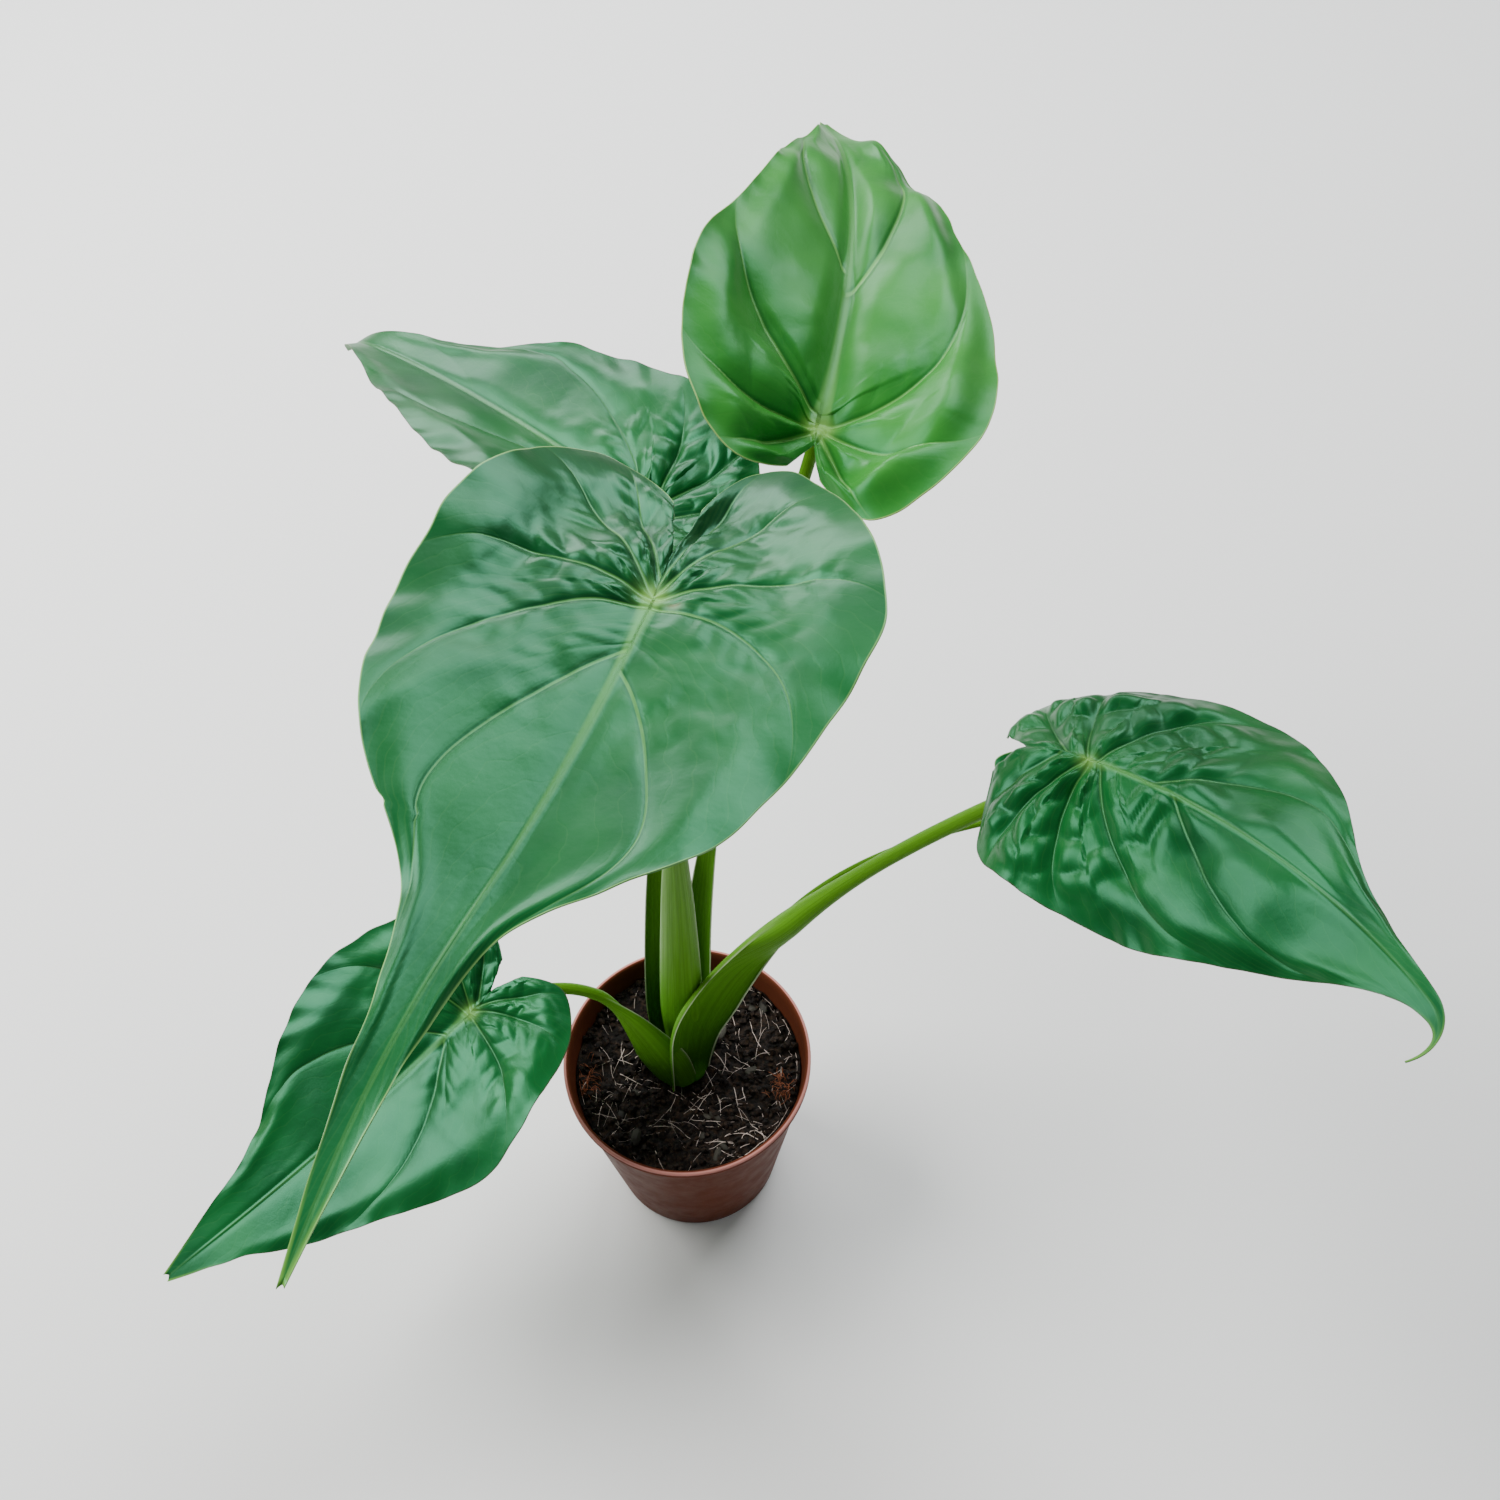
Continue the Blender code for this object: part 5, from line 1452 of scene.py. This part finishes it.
class TARO_OT_stalks(bpy.types.Operator):
    """Build the crown and the sheathed stalks"""

    bl_idname = "taro.stalks"
    bl_label = "Stalks"

    def execute(self, context):
        material = stalk_material(context.scene.taro_stalk)
        for name in STALKS:
            finish_piece(name + "_stalk", stalk_mesh(name), material, "stalk", "stalks")
        profile = [(0.0, CROWN_HEIGHT + 0.0015), (0.25 * CROWN_RADIUS, CROWN_HEIGHT + 0.0012)]
        profile += [(out * CROWN_RADIUS, up * CROWN_HEIGHT) for out, up in CROWN_PROFILE]
        profile += [(0.60 * CROWN_RADIUS, -0.8 * CROWN_FOOT_DEPTH), (0.0, -CROWN_FOOT_DEPTH + 0.001)]
        mesh = turned_mesh("crown", profile, CROWN_SIDES)
        for vertex in mesh.vertices:
            wobble = noise.noise(vertex.co * CROWN_WOBBLE_SCALE) * CROWN_WOBBLE
            outward = Vector((vertex.co.x, vertex.co.y, 0.0))
            if outward.length > CROWN_STILL and vertex.co.z > -CROWN_STILL:
                vertex.co += outward.normalized() * wobble
            vertex.co += Vector((*CROWN_CENTRE, SOIL_LEVEL))
        places = np.array([vertex.co[:] for vertex in mesh.vertices])
        angle = np.arctan2(places[:, 1] - CROWN_CENTRE[1], places[:, 0] - CROWN_CENTRE[0])
        set_uv(mesh, "stalk", np.stack([angle / math.tau, places[:, 2]], axis=-1))
        set_values(mesh, "edge", np.zeros(len(places)))
        # Painted shade over the whole crown
        set_values(mesh, "shade", np.full(len(places), 0.85))
        mesh.shade_smooth()
        finish_piece("crown", mesh, material, "stalk", "stalks")
        return {"FINISHED"}


class TARO_OT_pot(bpy.types.Operator):
    """Build the pot with its lip and drain holes"""

    bl_idname = "taro.pot"
    bl_label = "Pot"

    def execute(self, context):
        settings = context.scene.taro_pot
        rim = POT_RIM_RADIUS
        foot = POT_FOOT_RADIUS
        inner_foot = foot - POT_WALL
        inside = [
            (0.0, POT_FLOOR), (POT_MIDDLE, POT_FLOOR), (inner_foot - 0.0012, POT_FLOOR),
            (inner_foot - 0.0003, POT_FLOOR + 0.0005), (inner_foot + WALL_SLOPE * 0.0040, 0.0040),
            (inner_foot + WALL_SLOPE * 0.5 * LIP_BASE, 0.5 * LIP_BASE),
            (WALL_TOP_RADIUS - POT_WALL, LIP_BASE), (WALL_TOP_RADIUS - 0.0005, POT_HEIGHT - 0.0006),
            (WALL_TOP_RADIUS - 0.0001, POT_HEIGHT - 0.0002),
        ]
        lip = [
            (WALL_TOP_RADIUS + 0.0004, POT_HEIGHT), (rim - 0.0006, POT_HEIGHT),
            (rim - 0.0002, POT_HEIGHT - 0.0002), (rim, POT_HEIGHT - 0.0006), (rim, LIP_BASE + 0.0031),
            (rim - 0.0002, LIP_BASE + 0.0028), (rim - LIP_GROOVE, LIP_BASE + 0.0026),
            (rim - 0.0002, LIP_BASE + 0.0024), (rim, LIP_BASE + 0.0021), (rim, LIP_BASE + 0.0013),
            (rim - 0.0003, LIP_BASE + 0.0009), (WALL_TOP_RADIUS + 0.0002, LIP_BASE + 0.0002),
        ]
        outside = [
            (WALL_TOP_RADIUS, LIP_BASE - 0.0002), (foot + WALL_SLOPE * 0.5 * LIP_BASE, 0.5 * LIP_BASE),
            (foot + WALL_SLOPE * 0.0020, 0.0020), (foot - 0.0002, 0.0008), (foot - 0.0008, 0.0002),
            (foot - 0.0014, 0.0), (POT_MIDDLE, 0.0), (0.0, 0.0),
        ]
        pot = add_object("pot_draft", turned_mesh("pot_wall", inside + lip + outside, settings.sides))
        cutters = bmesh.new()
        for index in range(settings.drain_holes):
            angle = math.tau * index / settings.drain_holes
            centre = (
                settings.drain_ring * math.cos(angle), settings.drain_ring * math.sin(angle),
                0.5 * POT_FLOOR)
            bmesh.ops.create_cone(
                cutters, cap_ends=True, segments=DRAIN_SIDES, radius1=settings.drain_radius,
                radius2=settings.drain_radius, depth=3 * POT_FLOOR, matrix=Matrix.Translation(centre))
        cutter = add_object("drain_cutters", to_mesh(cutters, "drain_cutters"))
        modifier = pot.modifiers.new("drain", "BOOLEAN")
        modifier.operation = "DIFFERENCE"
        modifier.solver = "MANIFOLD"
        modifier.object = cutter
        cut = applied_mesh(pot)
        bpy.data.objects.remove(cutter, do_unlink=True)
        cut.shade_smooth()
        cut.set_sharp_from_angle(angle=math.radians(50))
        finish_piece("pot_wall", cut, pot_material(settings), "pot_plastic", "pot")
        return {"FINISHED"}


def soil_height(x, y):
    """Height of the rough peat at a point."""
    height = SOIL_LEVEL + SOIL_RISE_AT_WALL * min(math.hypot(x, y) / SOIL_RADIUS, 1.0) ** 2
    for lump, level, scale in SOIL_ROUGHNESS:
        height += lump * noise.noise(Vector((x, y, level)) * scale)
    return height


class TARO_OT_peat(bpy.types.Operator):
    """Build the peat with its crumbs, chips, roots and coir"""

    bl_idname = "taro.peat"
    bl_label = "Peat"

    def execute(self, context):
        settings = context.scene.taro_peat
        rng = random.Random(settings.seed)
        inner_foot = POT_FOOT_RADIUS - POT_WALL - SOIL_GAP
        wall = inner_foot + WALL_SLOPE * SOIL_LEVEL
        profile = [(wall * index / SOIL_RINGS, SOIL_LEVEL) for index in range(SOIL_RINGS + 1)]
        floor = POT_FLOOR + SOIL_GAP
        profile += [(inner_foot + WALL_SLOPE * 0.0048, 0.0048), (inner_foot - 0.0013, floor), (0.0, floor)]
        mesh = turned_mesh("peat", profile, SOIL_SIDES)
        for vertex in mesh.vertices:
            if vertex.co.z > SOIL_LEVEL - 0.0001:
                vertex.co.z = soil_height(vertex.co.x, vertex.co.y)
        mesh.shade_smooth()
        peat = peat_material(settings)
        finish_piece("peat", mesh, peat, "peat", "soil")
        self.add_crumbs(settings, rng, wall, peat)
        self.add_chips(rng, wall)
        self.add_fibres(settings, rng, wall)
        return {"FINISHED"}

    def place(self, rng, wall):
        """A random point on the peat, clear of the crown and the wall."""
        while True:
            radius = wall * CLEAR_OF_WALL * math.sqrt(rng.random())
            angle = rng.uniform(0.0, math.tau)
            x = radius * math.cos(angle)
            y = radius * math.sin(angle)
            if math.hypot(x - CROWN_CENTRE[0], y - CROWN_CENTRE[1]) > CROWN_RADIUS + CLEAR_OF_CROWN:
                return x, y

    def add_crumbs(self, settings, rng, wall, material):
        """Loose crumbs, each a small rough lump."""
        heap = bmesh.new()
        for _ in range(settings.crumbs):
            x, y = self.place(rng, wall)
            size = LEAST_CRUMB + CRUMB_RANGE * rng.random() ** 3.0
            spin = Matrix.Rotation(rng.uniform(0, math.tau), 4, Vector((rng.random(), rng.random(), 1.0)))
            scale = Matrix.Diagonal((size, size * rng.uniform(0.6, 1.2), size * rng.uniform(0.45, 0.9), 1.0))
            centre = Matrix.Translation((x, y, soil_height(x, y) + 0.25 * size))
            lump = bmesh.ops.create_icosphere(heap, subdivisions=1, radius=1.0, matrix=centre @ spin @ scale)
            for vertex in lump["verts"]:
                vertex.co += Vector(
                    [rng.uniform(-CRUMB_ROUGHNESS, CRUMB_ROUGHNESS) * size for _ in range(3)])
        finish_piece("peat_crumbs", to_mesh(heap, "peat_crumbs"), material, "peat")

    def add_chips(self, rng, wall):
        """Flat pieces of composted bark."""
        pile = bmesh.new()
        for _ in range(BARK_CHIPS):
            x, y = self.place(rng, wall * 0.93)
            size = rng.uniform(*CHIP_SIZES)
            spin = Matrix.Rotation(rng.uniform(0, math.tau), 4, "Z") @ Matrix.Rotation(
                rng.uniform(-0.5, 0.5), 4, "X")
            scale = Matrix.Diagonal((size, size * rng.uniform(0.4, 0.7), size * CHIP_THICKNESS, 1.0))
            centre = Matrix.Translation((x, y, soil_height(x, y) + 0.175 * size))
            chip = bmesh.ops.create_icosphere(pile, subdivisions=2, radius=1.0, matrix=centre @ spin @ scale)
            for vertex in chip["verts"]:
                shift = noise.noise(vertex.co * 700.0) * CHIP_ROUGHNESS
                vertex.co += Vector((shift, -shift, 0.5 * shift))
        material = fibre_material("bark", BARK_BROWN, 0.45)
        finish_piece("bark_chips", to_mesh(pile, "bark_chips"), material, "peat")

    def heaped(self, rng, centre, spread):
        """A random point about a centre."""
        return centre[0] + rng.gauss(0.0, spread[0]), centre[1] + rng.gauss(0.0, spread[1])

    def strand(self, rng, x, y, lengths, radii, lift):
        """A strand's start, length, radius and how high its middle may stand."""
        return x, y, rng.uniform(*lengths), rng.uniform(*radii), lift

    def add_fibres(self, settings, rng, wall):
        """Roots and fibres that lie on the peat, and two coir tufts."""
        tan = fibre_material("fibre_tan", settings.fibre, 0.5)
        rust = fibre_material("fibre_coir", settings.coir, 0.6)
        strands = []
        for _ in range(settings.fibres):
            x, y = self.place(rng, wall * 0.96)
            if rng.random() < HEAPED_SHARE:
                x, y = self.heaped(rng, rng.choice(FIBRE_HEAPS), FIBRE_HEAP_SPREAD)
            strands.append(self.strand(rng, x, y, **FIBRE_SIZES))
        self.add_strands("peat_fibres", strands, rng, tan, wall, bend=0.28)
        tufts = []
        for centre in COIR_TUFTS:
            for _ in range(COIR_TUFT_STRANDS):
                x, y = self.heaped(rng, centre, COIR_TUFT_SPREAD)
                tufts.append(self.strand(rng, x, y, **COIR_SIZES))
        self.add_strands("coir_tufts", tufts, rng, rust, wall, bend=1.0)

    def add_strands(self, name, strands, rng, material, wall, bend):
        """Thin bent tubes that follow the peat's surface."""
        curve = bpy.data.curves.new(name, "CURVE")
        curve.dimensions = "3D"
        curve.bevel_depth = 1.0
        curve.bevel_resolution = 0
        curve.use_fill_caps = True
        for x, y, length, radius, lift in strands:
            heading = rng.uniform(0.0, math.tau)
            turn = bend * rng.uniform(-0.35, 0.35)
            spline = curve.splines.new("POLY")
            spline.points.add(STRAND_POINTS - 1)
            for index, point in enumerate(spline.points):
                share = index / (STRAND_POINTS - 1)
                reach = min(1.0, 0.97 * wall / max(math.hypot(x, y), 1e-6))
                px = x * reach
                py = y * reach
                hump = lift * math.sin(math.pi * share) * rng.uniform(0.5, 1.0)
                point.co = (px, py, soil_height(px, py) + hump + 0.2 * radius, 1.0)
                point.radius = radius * (1.0 - 0.5 * share)
                x += length / STRAND_POINTS * math.cos(heading)
                y += length / STRAND_POINTS * math.sin(heading)
                heading += turn + bend * rng.uniform(-0.5, 0.5)
        mesh = applied_mesh(add_object(name + "_draft", curve))
        mesh.name = name
        mesh.shade_smooth()
        finish_piece(name, mesh, material, "peat")


class TARO_PT_panel(bpy.types.Panel):
    """Buttons that build the plant"""

    bl_idname = "TARO_PT_panel"
    bl_label = "Potted taro"
    bl_space_type = "VIEW_3D"
    bl_region_type = "UI"
    bl_category = "Taro"

    def draw(self, context):
        for idname in STEPS:
            self.layout.operator(idname)


STEPS = ("taro.stage", "taro.pot", "taro.peat", "taro.stalks", "taro.blades")
SETTINGS = {
    "taro_leaf": TaroLeafSettings,
    "taro_stalk": TaroStalkSettings,
    "taro_pot": TaroPotSettings,
    "taro_peat": TaroPeatSettings,
    "taro_stage": TaroStageSettings,
}
CLASSES = (
    *SETTINGS.values(), TARO_OT_stage, TARO_OT_blades, TARO_OT_stalks, TARO_OT_pot, TARO_OT_peat,
    TARO_PT_panel,
)


def register():
    """Register the settings, the operators and the panel."""
    for item in CLASSES:
        bpy.utils.register_class(item)
    for name, group in SETTINGS.items():
        setattr(bpy.types.Scene, name, PointerProperty(type=group))


def unregister():
    """Remove them again."""
    for name in SETTINGS:
        delattr(bpy.types.Scene, name)
    for item in reversed(CLASSES):
        bpy.utils.unregister_class(item)


def main():
    """Build every piece."""
    register()
    for step in STEPS:
        area, action = step.split(".")
        getattr(getattr(bpy.ops, area), action)()


if __name__ == "__main__":
    main()
